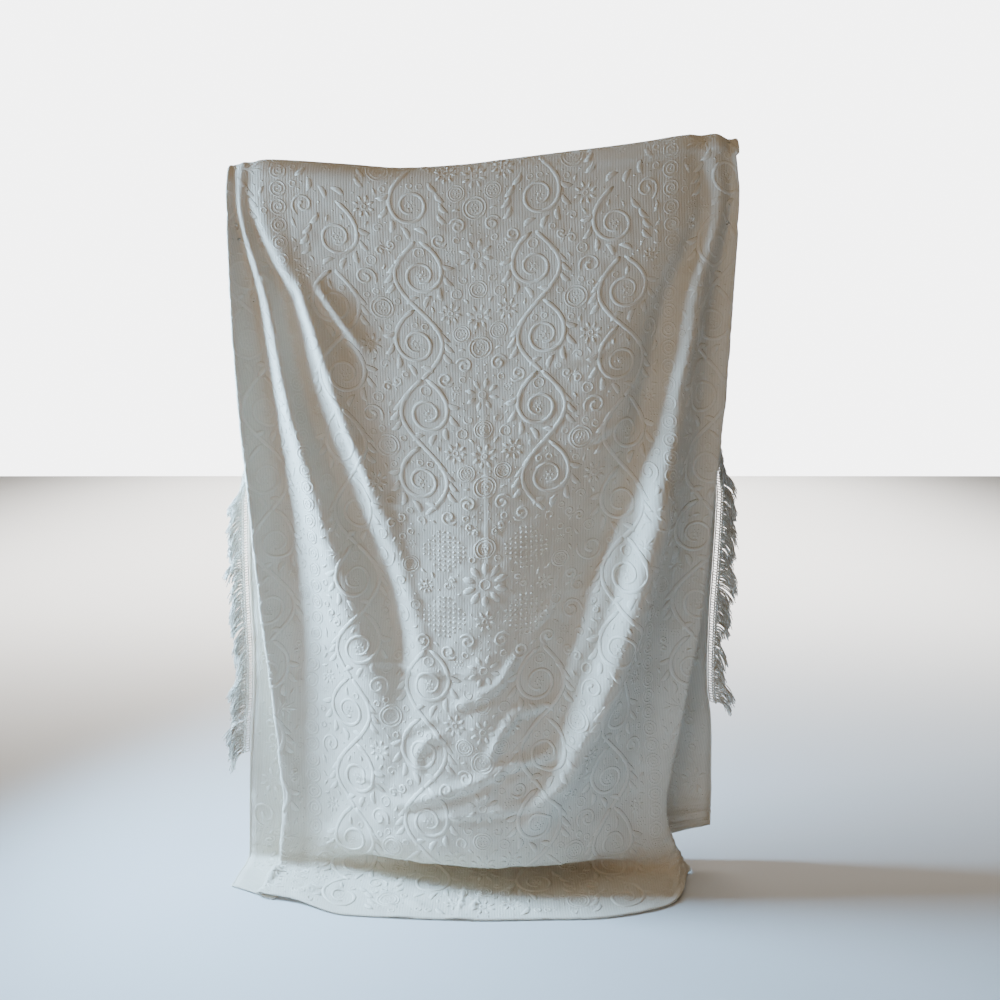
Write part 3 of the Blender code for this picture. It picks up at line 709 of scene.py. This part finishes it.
def daisy(cx, cy, radius, petals=8, turn=0.0):
    """Petals round a small ring."""
    strokes = [ring(cx, cy, radius * 0.22, LINE * 0.8)]
    for k in range(petals):
        angle = turn + 360.0 * k / petals
        dx, dy = polar(angle, 0.40 * radius)
        strokes.append(leaf(cx + dx, cy + dy, angle, radius * 0.60, radius * 0.34, 0.0))
    return strokes


def ring_and_dot(cx, cy, radius):
    """A ring with a tuft in it."""
    return [ring(cx, cy, radius), tuft(cx, cy)]


def tufted_field(cx, cy, half, pitch):
    """Tufts in a square grid, in a field with cut corners."""
    count = int(half / pitch)
    steps = [(j, k) for j in range(-count, count + 1) for k in range(-count, count + 1)
             if abs(j) + abs(k) <= 1.42 * count]
    return [tuft(cx + j * pitch, cy + k * pitch, 0.66 * pitch) for j, k in steps]


def double_scroll(cx, cy, radius, turn, hand):
    """Two scrolls that wind out of one stem."""
    dx, dy = polar(turn, 0.5 * radius)
    strokes = []
    for sign, about in ((1, turn + 180), (-1, turn)):
        strokes.append(scroll(cx + sign * dx, cy + sign * dy, 0.47 * radius, about,
                              1.25, hand, LINE * 1.3))
    for sign in (1, -1):
        strokes.append(leaf(cx + sign * 0.5 * dy, cy - sign * 0.5 * dx, turn - sign * 90,
                            0.5 * radius, 0.2 * radius))
    return strokes


def palmette(cx, cy, radius, turn):
    """Broad leaves that fan out of one foot."""
    dx, dy = polar(turn, 0.85 * radius)
    x, y = cx - dx, cy - dy
    strokes = [leaf(x, y, turn, 1.7 * radius, 0.34 * radius, 0.0)]
    for spread, share in ((28, 1.45), (58, 1.05), (92, 0.70)):
        for hand in (-1, 1):
            strokes.append(leaf(x, y, turn + hand * spread, share * radius, 0.26 * radius,
                                -0.14 * hand))
    return strokes


def double_ring(cx, cy, radius):
    """Two rings round a field of tufts."""
    return [ring(cx, cy, radius * 0.94), ring(cx, cy, radius * 0.68)] + spray(cx, cy, radius * 0.42)


def motif(cx, cy, radius, turn, pick):
    """One motif that fills a circle; the smaller the circle, the plainer it is."""
    hand = 1 if pick % 2 else -1
    if radius > 0.020:
        return (double_scroll(cx, cy, radius, turn, hand), palmette(cx, cy, radius, turn),
                [scroll(cx, cy, radius, turn, 1.4, hand, LINE * 1.4)],
                daisy(cx, cy, radius, 8, turn), double_ring(cx, cy, radius))[pick % 5]
    if radius > 0.012:
        return (ring_and_dot(cx, cy, radius * 0.85), [scroll(cx, cy, radius, turn, 1.0, hand)],
                spray(cx, cy, radius), long_leaf(cx, cy, radius, turn))[pick % 4]
    if radius > 0.008:
        return (long_leaf(cx, cy, radius, turn), [ring(cx, cy, radius * 0.75)])[pick % 2]
    return [tuft(cx, cy, 0.0070)]


def long_leaf(cx, cy, radius, turn):
    """One leaf across a circle."""
    dx, dy = polar(turn, radius)
    return [leaf(cx - dx, cy - dy, turn, 2 * radius, 0.9 * radius)]


def bend_scroll(x, y, side):
    """A scroll that leaves the stem where it crosses over and winds into the bend."""
    u = np.linspace(0, 1, 64)
    angle = np.radians(-90 - side * 360 * SCROLL_TURNS * u)
    radius = EYE + (SCROLL - EYE) * (1 - u) + (REPEAT / 4 - SCROLL) * np.exp(-u / 0.07)
    line = np.stack([x + radius * np.cos(angle), y + radius * np.sin(angle)], axis=1)
    strokes = [(line, LINE * (2.2 - 1.0 * u), False)] + daisy(x, y, 0.82 * EYE, 6)
    for step in (60, 92, 124, 156, 188):
        around = -90 - side * step
        dx, dy = polar(around, 1.12 * SCROLL)
        strokes.append(leaf(x + dx, y + dy, around - side * 52, LOBE, 0.50 * LOBE, -0.16 * side))
    return strokes


def vine(x, hand, top):
    """One repeat of a wavy stem, with a scroll in each bend and leaves outside it."""
    down = np.linspace(0, REPEAT, 66)
    swing = hand * WAVE * np.sin(2 * math.pi * down / REPEAT)
    strokes = [(np.stack([x + swing, top + down], axis=1), LINE * 2.2, False)]
    for share, side in ((0.25, hand), (0.75, -hand)):
        y = share * REPEAT
        strokes += bend_scroll(x - side * SCROLL_SHIFT, top + y, side)
        for step in (-0.060, -0.033, -0.006, 0.021):
            at = x + side * (WAVE * math.cos(2 * math.pi * step / REPEAT) + 0.006)
            strokes.append(leaf(at, top + y + step, 90 - side * 38, LOBE, 0.48 * LOBE, 0.16 * side))
    return strokes


def vines(medallion, top):
    """All vines of one repeat; the innermost one makes room for the medallion."""
    strokes = []
    for x, hand, drop in VINES[medallion:]:
        strokes += vine(x, hand, top + drop)
    return strokes


def fixed_places(medallion):
    """Circles of one repeat that hold the middle flowers, the vines, the chain and the fields."""
    places = [(0.0, y, radius) for y, radius in (MEDALLION if medallion else MIDDLE)]
    places += [(CHAIN, y, CHAIN_ROOM) for y in np.arange(0, REPEAT, REPEAT / 20)]
    if medallion:
        places += [(x, y, FIELD_ROOM) for x, y in FIELDS]
    for line, wide, _ in vines(medallion, 0.0):
        halves = np.broadcast_to(wide, len(line)) / 2
        places += [(x, y, half) for (x, y), half in zip(line, halves)]
    return np.array(places)


def clear_of(taken, x, y, radius):
    """Whether a circle stays clear of all others, wrapped from top to bottom."""
    drop = (taken[:, 1] - y + REPEAT / 2) % REPEAT - REPEAT / 2
    return np.all(np.hypot(taken[:, 0] - x, drop) > taken[:, 2] + radius + GAP)


def packed_places(medallion, kept):
    """Circles that fill one repeat round the fixed ones."""
    rng = np.random.default_rng(PATTERN_SEED + medallion)
    taken = fixed_places(medallion)
    places = [place for place in kept if clear_of(taken, *place[:3])]
    if places:
        taken = np.vstack([taken, [place[:3] for place in places]])
    for radius, count, tries in SIZES:
        found = 0
        for _ in range(tries):
            x = rng.uniform(radius + GAP, HALF_WIDTH - radius)
            y = rng.uniform(radius, REPEAT - radius) if medallion else rng.uniform(0, REPEAT)
            if clear_of(taken, x, y, radius):
                taken = np.vstack([taken, (x, y, radius)])
                places.append((x, y, radius, rng.uniform(0, 360), found))
                found += 1
            if found == count:
                break
    return places


def chain(top):
    """How far down the chain's rings lie in one repeat."""
    return [top + (j + 0.5) * REPEAT / RINGS for j in range(RINGS)]


def half_pattern(repeats, first, last):
    """Strokes of one half of the cloth for some of the repeats."""
    strokes = []
    for k in range(first, last):
        top = k * REPEAT + FIRST_TOP
        medallion = k == MEDALLION_REPEAT
        strokes += vines(medallion, top)
        for x, y, radius, turn, pick in repeats[medallion]:
            strokes += motif(x, top + y, radius, turn, pick)
        for y in chain(top):
            strokes += [ring(CHAIN, y, size) for size in RING_SIZES] + [tuft(CHAIN, y)]
        if medallion:
            for x, y in FIELDS:
                strokes += tufted_field(x, top + y, FIELD, FIELD_PITCH)
    return strokes


def middle_pattern():
    """Strokes on the middle line, which aren't mirrored."""
    strokes = []
    for k in range(REPEATS):
        top = k * REPEAT + FIRST_TOP
        for j, (drop, radius) in enumerate(MEDALLION if k == MEDALLION_REPEAT else MIDDLE):
            if j % 2 == 0:
                strokes += daisy(0.0, top + drop, radius, 10 if radius > 0.05 else 8, 18)
            else:
                strokes += double_ring(0.0, top + drop, radius)
    return strokes


def mirrored(stroke):
    """The same stroke on the other side of the middle."""
    line, wide, closed = stroke
    return line * np.array([-1.0, 1.0]), wide, closed


def back_pattern():
    """The narrow stitch lines of the vines, rings and flowers that show on the back."""
    strokes = middle_pattern()
    for k in range(REPEATS):
        top = k * REPEAT + FIRST_TOP
        half = vines(k == MEDALLION_REPEAT, top)
        half += [ring(CHAIN, y, RING_SIZES[0]) for y in chain(top)]
        strokes += half + [mirrored(stroke) for stroke in half]
    return [(line, np.asarray(wide) * BACK_SHARE, closed) for line, wide, closed in strokes]


def make_pile(name, surface, strokes, material):
    """One object with the ribbons of all strokes that lie clear of the hems."""
    heights, faces, flats = [], [], []
    total = 0
    for line, wide, closed in strokes:
        if surface.holds(line):
            add_ribbon(heights, faces, flats, total, line, wide, closed)
            total += 4 * len(line)
    flat = np.concatenate(flats)
    high = np.concatenate(heights)
    high = np.where(high > 0, high * np.interp(flat[:, 1], *PRESSED), high)
    place = surface.place(flat[:, 0], flat[:, 1], high)
    coordinates = np.concatenate([flat, np.zeros((len(flat), 1))], axis=1)
    corners = [face for block in faces for face in block.tolist()]
    return new_object(name, place, corners, material, coordinates)


def add_ribbon(heights, faces, flats, first, line, wide, closed):
    """Adds one low closed ribbon along a stroke, as flat places and heights."""
    count = len(line)
    wide = np.broadcast_to(np.asarray(wide, float), (count,)).copy()
    ahead = np.roll(line, -1, axis=0) - line
    if not closed:
        ahead[-1] = ahead[-2]
    behind = np.roll(ahead, 1, axis=0)
    if not closed:
        behind[0] = ahead[0]
    way = unit(ahead + behind, TINY)
    side = np.stack([-way[:, 1], way[:, 0]], axis=1)
    tufts = np.sin(2 * math.pi * run_along(line) / BEAD)
    high = PILE * (0.90 + 0.12 * tufts) * np.clip(wide / LINE, 0.5, 1.5)
    wide *= 1 + 0.06 * tufts
    if not closed:
        wide[[0, -1]] *= 0.45
        high[[0, -1]] *= 0.25
    sunk = np.full(count, SUNK)
    for share, height in ((-0.5, sunk), (-0.27, high), (0.27, high), (0.5, sunk)):
        flats.append(line + side * (wide * share)[:, None])
        heights.append(height)
    ids = first + np.arange(4)[:, None] * count + np.arange(count)
    last = count if closed else count - 1
    i = np.arange(last)
    j = (i + 1) % count
    for k in range(4):
        lo, hi = ids[k], ids[(k + 1) % 4]
        faces.append(np.stack([lo[i], lo[j], hi[j], hi[i]], axis=1))
    if not closed:
        faces.append(ids[:, :1].T)
        faces.append(ids[::-1, -1:].T)


# === fringes ===
FRINGE_PITCH = 0.0074  # from lock to lock
FRINGE_TOP = 1.66  # height where it starts
FRINGE_END = {"left": 0.300, "right": 0.440}
FREE = {"left": 1.06, "right": 1.11}  # locks above hang straight down, behind the front
FREE_RANGE = 0.05  # height below that over which the locks start to swing out
CAUGHT = {"left": 0.800, "right": 0.630}  # height of the locks that are caught behind
CAUGHT_REACH = 0.026
CAUGHT_LENGTH = 0.40  # share of their length that shows
HEADING = (0.0, 0.005, 0.016, 0.021)  # the heading's lines, out from the hem
HEADING_SAG = (0.0, 0.0006, 0.0050, 0.0085)
HEADING_CORDS = (0.0021, 0.0017, 0.0018, 0.0021)  # radius of each line
HEADING_BAR = 0.0013  # radius of the bars between the middle two
KNOT = (0.0014, 0.0028, 0.0018)  # radii of a knot, from the heading outwards
LOCK_LENGTH = 0.070
LOCK_START = 26.0  # slope of a lock where it leaves its knot
LOCK_STOP = 84.0  # slope of its end
STRAIGHT = 88  # slope of a lock that hangs straight down
HEM = 0.0026  # radius of the rolled hems
YARNS = 6  # yarns in a lock
# how a lock's yarns differ: place between two knots, slopes in radians, share of the
# lock's length, and sway to the side
ROOT_SPREAD = 0.25
START_SPREAD = 0.10
STOP_SPREAD = 0.09
LENGTH_SHARES = (0.84, 1.06)
SWAY_SPREAD = 0.005
YARN_RADII = 0.0014 * np.array([1, 1.15, 1.1, 1.1, 1.05, 1.0, 0.8])  # along one yarn
DOWN = np.array([0.0, 0.0, -1.0])


def tube(points, faces, line, radii, sides=4):
    """Adds a closed tube round a line of points."""
    first = sum(len(p) for p in points)
    line = np.asarray(line, float)
    count = len(line)
    way = unit(np.gradient(line, axis=0), TINY)
    u = unit(np.cross(way, np.array([0.31, 0.93, 0.21])), TINY)
    v = np.cross(way, u)
    a = (np.arange(sides) * 2 * math.pi / sides)[None, :, None]
    radii = np.broadcast_to(np.asarray(radii, float), (count,))[:, None, None]
    around = np.cos(a) * u[:, None, :] + np.sin(a) * v[:, None, :]
    points.append((line[:, None, :] + radii * around).reshape(-1, 3))
    for r in range(count - 1):
        for k in range(sides):
            n = (k + 1) % sides
            p = first + r * sides
            faces.append((p + k, p + n, p + sides + n, p + sides + k))
    faces.append(tuple(first + k for k in range(sides))[::-1])
    faces.append(tuple(first + (count - 1) * sides + k for k in range(sides)))


def hem_frame(grid, normal, side):
    """Evenly spaced places along one hem: points, ways outward and ways of the face."""
    column, inner = (0, 1) if side == "left" else (grid.shape[1] - 1, grid.shape[1] - 2)
    line = grid[:, column]
    out = unit(line - grid[:, inner])
    face = normal[:, column]
    run = run_along(line)
    height = line[:, 2] + HANG
    rows = [r for r in range(ROLL_ROWS, len(line)) if FRINGE_END[side] <= height[r] <= FRINGE_TOP]
    start, stop = run[rows[0]], run[rows[-1]]
    count = int((stop - start) / FRINGE_PITCH)
    marks = np.linspace(start, stop, count + 1)

    def along(values):
        return np.stack([np.interp(marks, run, values[:, k]) for k in range(3)], axis=1)

    return along(line), along(out), along(face)


def heading(points, faces, place, out, face):
    """Cords along the hem with bars between them; returns the line of the knots."""
    lines = [place + out * reach + DOWN * sag for reach, sag in zip(HEADING, HEADING_SAG)]
    wobble = 0.0004 * np.sin(np.arange(len(place)) * 2.1)[:, None] * face
    for line, way, radius in zip(lines, (1, -1, 1, -1), HEADING_CORDS):
        tube(points, faces, line + way * wobble, radius, 5)
    for m, (start, stop) in enumerate(zip(lines[1], lines[2])):
        lean = face[m] * 0.0008 * (1 if m % 2 else -1)
        tube(points, faces, [start, (start + stop) / 2 + lean, stop], HEADING_BAR, 4)
    return lines[3]


def yarn_line(knot, outward, face, start, stop, length, sway, wave):
    """One yarn that leaves a knot at one slope and droops to another."""
    u = np.linspace(0, 1, 7)
    slope = start + (stop - start) * u ** 0.7
    step = length / 6 * (outward * np.cos(slope)[:, None] + DOWN * np.sin(slope)[:, None])
    line = knot + np.concatenate([np.zeros((1, 3)), np.cumsum(step[:-1], axis=0)])
    return line + face * (sway * u + 0.0016 * u * np.cos(wave + 5 * u))[:, None]


def lock_form(m, side, height, tilt):
    """Slopes of one lock at its start and end, and its length."""
    free = min(1.0, max(0.0, (FREE[side] - height) / FREE_RANGE))
    clump = math.sin(m * 0.31) + 0.6 * math.sin(m * 0.135 + 1.0) + 0.9 * math.sin(m * 0.83)
    start = math.radians(STRAIGHT + free * (LOCK_START - STRAIGHT + 8.0 * clump)) - tilt
    stop = math.radians(STRAIGHT + free * (LOCK_STOP - STRAIGHT + 4.0 * clump)) - tilt
    caught = min(1.0, (abs(height - CAUGHT[side]) / CAUGHT_REACH) ** 2)
    length = LOCK_LENGTH * (0.90 + 0.10 * math.sin(m * 0.45) + 0.09 * math.sin(m * 0.115 + 1))
    return start, stop, length * (CAUGHT_LENGTH + (1 - CAUGHT_LENGTH) * caught)


def make_fringe(side, grid, normal, material):
    """A knotted heading of cords and bars, and a drooping lock of yarns to each knot."""
    rng = np.random.default_rng(11 if side == "left" else 12)
    place, out, face = hem_frame(grid, normal, side)
    points, faces = [], []
    knots = heading(points, faces, place, out, face)
    for m in range(len(place) - 1):
        outward = out[m] * np.array([1.0, 1.0, 0.0])
        outward /= np.linalg.norm(outward)
        along = place[m + 1] - place[m]
        tilt = max(0.0, math.atan2(float(along @ outward), float(-along[2])))
        start, stop, length = lock_form(m, side, place[m][2] + HANG, tilt)
        knot = knots[m]
        tube(points, faces, [knot - outward * 0.004 - DOWN * 0.001, knot,
                             knot + outward * 0.004 + DOWN * 0.004], KNOT, 5)
        for _ in range(YARNS):
            root = knot + along * rng.normal(0, ROOT_SPREAD) + outward * 0.002
            line = yarn_line(root, outward, face[m], start + rng.normal(0, START_SPREAD),
                             stop + rng.normal(0, STOP_SPREAD),
                             length * rng.uniform(*LENGTH_SHARES),
                             rng.normal(0, SWAY_SPREAD), rng.uniform(0, 6.28))
            tube(points, faces, line, YARN_RADII, 3)
    return new_object(f"fringe_yarn_{side}", np.concatenate(points), faces, material)


def make_hem(name, line, material):
    """A rolled hem along one edge of the cloth."""
    points, faces = [], []
    tube(points, faces, line, HEM, 6)
    return new_object(name, np.concatenate(points), faces, material)


# === materials ===
def plain_material(name, colour, roughness):
    """A material of one colour, with its tree and its shader."""
    material = bpy.data.materials.new(name)
    material.use_nodes = True
    tree = material.node_tree
    shader = tree.nodes["Principled BSDF"]
    shader.inputs["Base Color"].default_value = (*colour, 1)
    shader.inputs["Roughness"].default_value = roughness
    return material, tree, shader


def cotton_material(name, colour, roughness):
    """The same with the soft sheen of cotton."""
    material, tree, shader = plain_material(name, colour, roughness)
    shader.inputs["Sheen Weight"].default_value = 0.12
    shader.inputs["Sheen Roughness"].default_value = 0.6
    shader.inputs["Specular IOR Level"].default_value = 0.2
    return material, tree, shader


def add_node(tree, kind, values=None, links=None, **settings):
    """One node with its settings, its input values and its incoming links."""
    node = tree.nodes.new(kind)
    for key, value in settings.items():
        setattr(node, key, value)
    for key, value in (values or {}).items():
        node.inputs[key].default_value = value
    for key, socket in (links or {}).items():
        tree.links.new(socket, node.inputs[key])
    return node


def maths(tree, operation, first, second=None):
    """A maths node; each of the values is a socket or a number."""
    node = tree.nodes.new("ShaderNodeMath")
    node.operation = operation
    for k, value in enumerate((first, second)):
        if isinstance(value, (int, float)):
            node.inputs[k].default_value = value
        elif value is not None:
            tree.links.new(value, node.inputs[k])
    return node.outputs[0]


def weighted(tree, first, share, second, other):
    """The sum of two node values, each times its share."""
    return maths(tree, "ADD", maths(tree, "MULTIPLY", first, share),
                 maths(tree, "MULTIPLY", second, other))


RIB_PITCH = 0.0068  # from rib to rib across the cloth
RIB_WANDER = 0.0022  # how far a rib strays from its line


def flat_place(tree):
    """A point's place on the flat cloth."""
    return add_node(tree, "ShaderNodeAttribute", attribute_name="flat").outputs["Vector"]


def noise(tree, place, scale, detail=3.0, roughness=0.6):
    """Soft noise over a place."""
    node = add_node(tree, "ShaderNodeTexNoise",
                    {"Scale": scale, "Detail": detail, "Roughness": roughness}, {"Vector": place})
    return node.outputs[0]


def bumped(tree, shader, height, strength, distance):
    """Gives a shader a fine relief."""
    values = {"Strength": strength, "Distance": distance}
    bump = add_node(tree, "ShaderNodeBump", values, {"Height": height})
    tree.links.new(bump.outputs[0], shader.inputs["Normal"])


def toned(tree, shader, value, low, dark, high, light):
    """Colours a shader between two tones."""
    ramp = add_node(tree, "ShaderNodeValToRGB", links={0: value})
    ends = ramp.color_ramp.elements
    ends[0].position, ends[0].color = low, (*dark, 1)
    ends[1].position, ends[1].color = high, (*light, 1)
    tree.links.new(ramp.outputs[0], shader.inputs["Base Color"])


def cloth_material():
    """Ribbed cream cotton: ribs down the cloth, short floats, faint age tones, and painted shade
    that darkens the low parts of the ribs and floats.
    """
    material, tree, shader = cotton_material("ribbed_cotton", (0.80, 0.77, 0.70), 0.95)
    flat = flat_place(tree)
    parts = add_node(tree, "ShaderNodeSeparateXYZ", links={0: flat}).outputs
    stray = maths(tree, "MULTIPLY", noise(tree, flat, 60.0, 2.0), RIB_WANDER)
    across = maths(tree, "ADD", parts[0], stray)
    ribs = maths(tree, "SINE", maths(tree, "MULTIPLY", across, 2 * math.pi / RIB_PITCH))
    ribs = maths(tree, "MULTIPLY", maths(tree, "ADD", ribs, 1.0), 0.5)
    stretch = add_node(tree, "ShaderNodeVectorMath", {1: (900.0, 330.0, 1.0)}, {0: flat},
                       operation="MULTIPLY")
    floats = noise(tree, stretch.outputs[0], 1.0)
    height = weighted(tree, ribs, 0.45, floats, 0.75)
    bumped(tree, shader, height, 0.8, 0.0008)
    # painted shade: the colour darkens where the rib and float relief is low, on top of the random
    # age tones of the large noise
    age_tone_and_groove_shade = weighted(tree, noise(tree, flat, 5.0, 4.0), 0.8, height, 0.35)
    toned(tree, shader, age_tone_and_groove_shade, 0.25, (0.61, 0.55, 0.45), 0.95, (0.84, 0.78, 0.67))
    return material


def pile_material():
    """Soft cut tufts, a little lighter than the ground, with painted shade that darkens the low
    parts of their fuzz.
    """
    material, tree, shader = cotton_material("tufted_pile", (0.84, 0.81, 0.75), 1.0)
    fuzz = noise(tree, flat_place(tree), 520.0, 3.0, 0.7)
    bumped(tree, shader, fuzz, 0.8, 0.0008)
    # painted shade: the fuzz that makes the bump also darkens the colour where the fuzz is low
    toned(tree, shader, fuzz, 0.30, (0.66, 0.60, 0.50), 0.65, (0.84, 0.785, 0.68))
    return material


def yarn_material():
    """Twisted cotton yarn."""
    material, tree, shader = cotton_material("fringe_yarn", (0.84, 0.80, 0.72), 0.95)
    place = add_node(tree, "ShaderNodeTexCoord").outputs["Object"]
    bumped(tree, shader, noise(tree, place, 420.0), 0.8, 0.0006)
    toned(tree, shader, noise(tree, place, 45.0), 0.30, (0.66, 0.61, 0.52), 0.70, (0.88, 0.85, 0.78))
    return material


# === floor, light and camera ===
FLOOR_GAP = 0.0030  # how far the studio's floor lies below height 0
FLOOR_HALF = 9.0  # half the width of the floor
EYE_HEIGHT = 1.40  # height of the camera
DISTANCE = 2.8  # from the camera to the plane of the front
CAMERA_ACROSS = 0.043  # from the middle to the camera
TILT = 82.0  # degrees that the camera is raised from looking straight down


def area_light(name, place, target, size, power, colour, spread=180):
    """A soft rectangular light aimed at a point."""
    data = bpy.data.lights.new(name, "AREA")
    data.shape = "SQUARE"
    data.size = size
    data.energy = power
    data.color = colour
    data.spread = math.radians(spread)
    item = linked(name, data)
    item.location = place
    item.rotation_euler = (Vector(target) - Vector(place)).to_track_quat("-Z", "Y").to_euler()
    return item


def make_floor():
    """A plain pale floor just below the cloth that lies on it."""
    mesh = bpy.data.meshes.new("floor")
    corners = [(FLOOR_HALF * x, FLOOR_HALF * y, -HANG - FLOOR_GAP)
               for x, y in ((-1, -1), (1, -1), (1, 1), (-1, 1))]
    mesh.from_pydata(corners, [], [(0, 1, 2, 3)])
    mesh.materials.append(plain_material("pale_floor", (0.70, 0.70, 0.70), 0.9)[0])
    floor = linked("floor", mesh)


def make_lights():
    """Cool daylight from the left, a warm room, a light behind and a weak one overhead."""
    area_light("window", (-2.0, 0.01, -0.30), (0.0, -0.14, -0.80), size=0.8, power=165,
               colour=(0.40, 0.68, 1.0), spread=120)
    area_light("room", (-2.7, -3.7, 0.3), (0.0, 0.0, -0.9), size=3.0, power=44,
               colour=(1.0, 0.76, 0.50))
    rear = area_light("rear", (0.0, 6.0, 0.8), (0.0, 6.0, -HANG), size=8.0, power=1050,
                      colour=(1.0, 0.97, 0.93), spread=110)
    rear.visible_camera = False
    overhead = bpy.data.lights.new("overhead", "SUN")
    overhead.energy = 0.36
    overhead.angle = math.radians(50)
    overhead.color = (1.0, 0.90, 0.75)
    linked("overhead", overhead)


def make_surround():
    """A dim warm surround, which the camera itself sees as a bright plain backdrop."""
    world = bpy.data.worlds.new("surround")
    world.use_nodes = True
    tree = world.node_tree
    surround = tree.nodes["Background"]
    surround.inputs[0].default_value = (1.0, 0.80, 0.58, 1)
    surround.inputs[1].default_value = 0.11
    backdrop = add_node(tree, "ShaderNodeBackground", {0: (0.93, 0.93, 0.94, 1), 1: 6.0})
    seen = add_node(tree, "ShaderNodeLightPath").outputs["Is Camera Ray"]
    mix = add_node(tree, "ShaderNodeMixShader",
                   links={0: seen, 1: surround.outputs[0], 2: backdrop.outputs[0]})
    tree.links.new(mix.outputs[0], tree.nodes["World Output"].inputs[0])
    bpy.context.scene.world = world


def make_camera():
    """The photograph's camera: at eye height, pitched down a little."""
    lens = bpy.data.cameras.new("camera")
    lens.sensor_width = 36.0
    lens.lens = 39.6
    camera = linked("camera", lens)
    camera.location = (CAMERA_ACROSS, -DISTANCE - ROLL, EYE_HEIGHT - HANG)
    camera.rotation_euler = (math.radians(TILT), 0, 0)
    bpy.context.scene.camera = camera


# === main ===
def hanging_cloth():
    """The creased middle surface in the shared frame, its normals and flat coordinates."""
    origin = np.array([0, ROLL, HANG])
    grid = build_grid() - origin
    normal = normals(grid)
    across, down = flat_coordinates(grid)
    lifted = creased(grid + origin, normal, across, down) - origin
    return lifted, normals(lifted), across, down


def add_pile(cloth_shape, cotton, tufts):
    """The pile on the face and the stitch lines on the back."""
    lifted, normal, across, down = cloth_shape
    surface = Surface(lifted, normal, across, down)
    inner = Surface(lifted, -normal, across, down)
    common = packed_places(False, [])
    near_seam = [place for place in common if min(place[1], REPEAT - place[1]) < SEAM]
    repeats = {False: common, True: packed_places(True, near_seam)}
    pieces = [make_pile("pile_middle", surface, middle_pattern(), tufts),
              make_pile("stitches_back", inner, back_pattern(), cotton)]
    for band, first, last in (("upper", 0, REPEATS // 2), ("lower", REPEATS // 2, REPEATS)):
        half = half_pattern(repeats, first, last)
        other = [mirrored(stroke) for stroke in half]
        pieces.append(make_pile(f"pile_right_{band}", surface, half, tufts))
        pieces.append(make_pile(f"pile_left_{band}", surface, other, tufts))
    return pieces


def add_fringes(lifted, normal):
    """Both fringes, which stand for their solids."""
    yarn = yarn_material()
    pieces = []
    for side in OUTWARD:
        fringe = make_fringe(side, lifted, normal, yarn)
        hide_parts(f"fringe_{side}")
        pieces.append(fringe)
    return pieces


def main():
    """Dresses the frame and sets the studio."""
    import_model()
    make_floor()
    make_lights()
    make_surround()
    make_camera()
    cotton = cloth_material()
    tufts = pile_material()
    cloth_shape = hanging_cloth()
    lifted, normal = cloth_shape[:2]
    cloth = make_cloth(*cloth_shape, cotton)
    pieces = add_pile(cloth_shape, cotton, tufts) + add_fringes(lifted, normal)
    pieces.append(make_hem("hem_left", lifted[:, 0], cotton))
    pieces.append(make_hem("hem_right", lifted[:, -1], cotton))
    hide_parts("bedspread")


main()
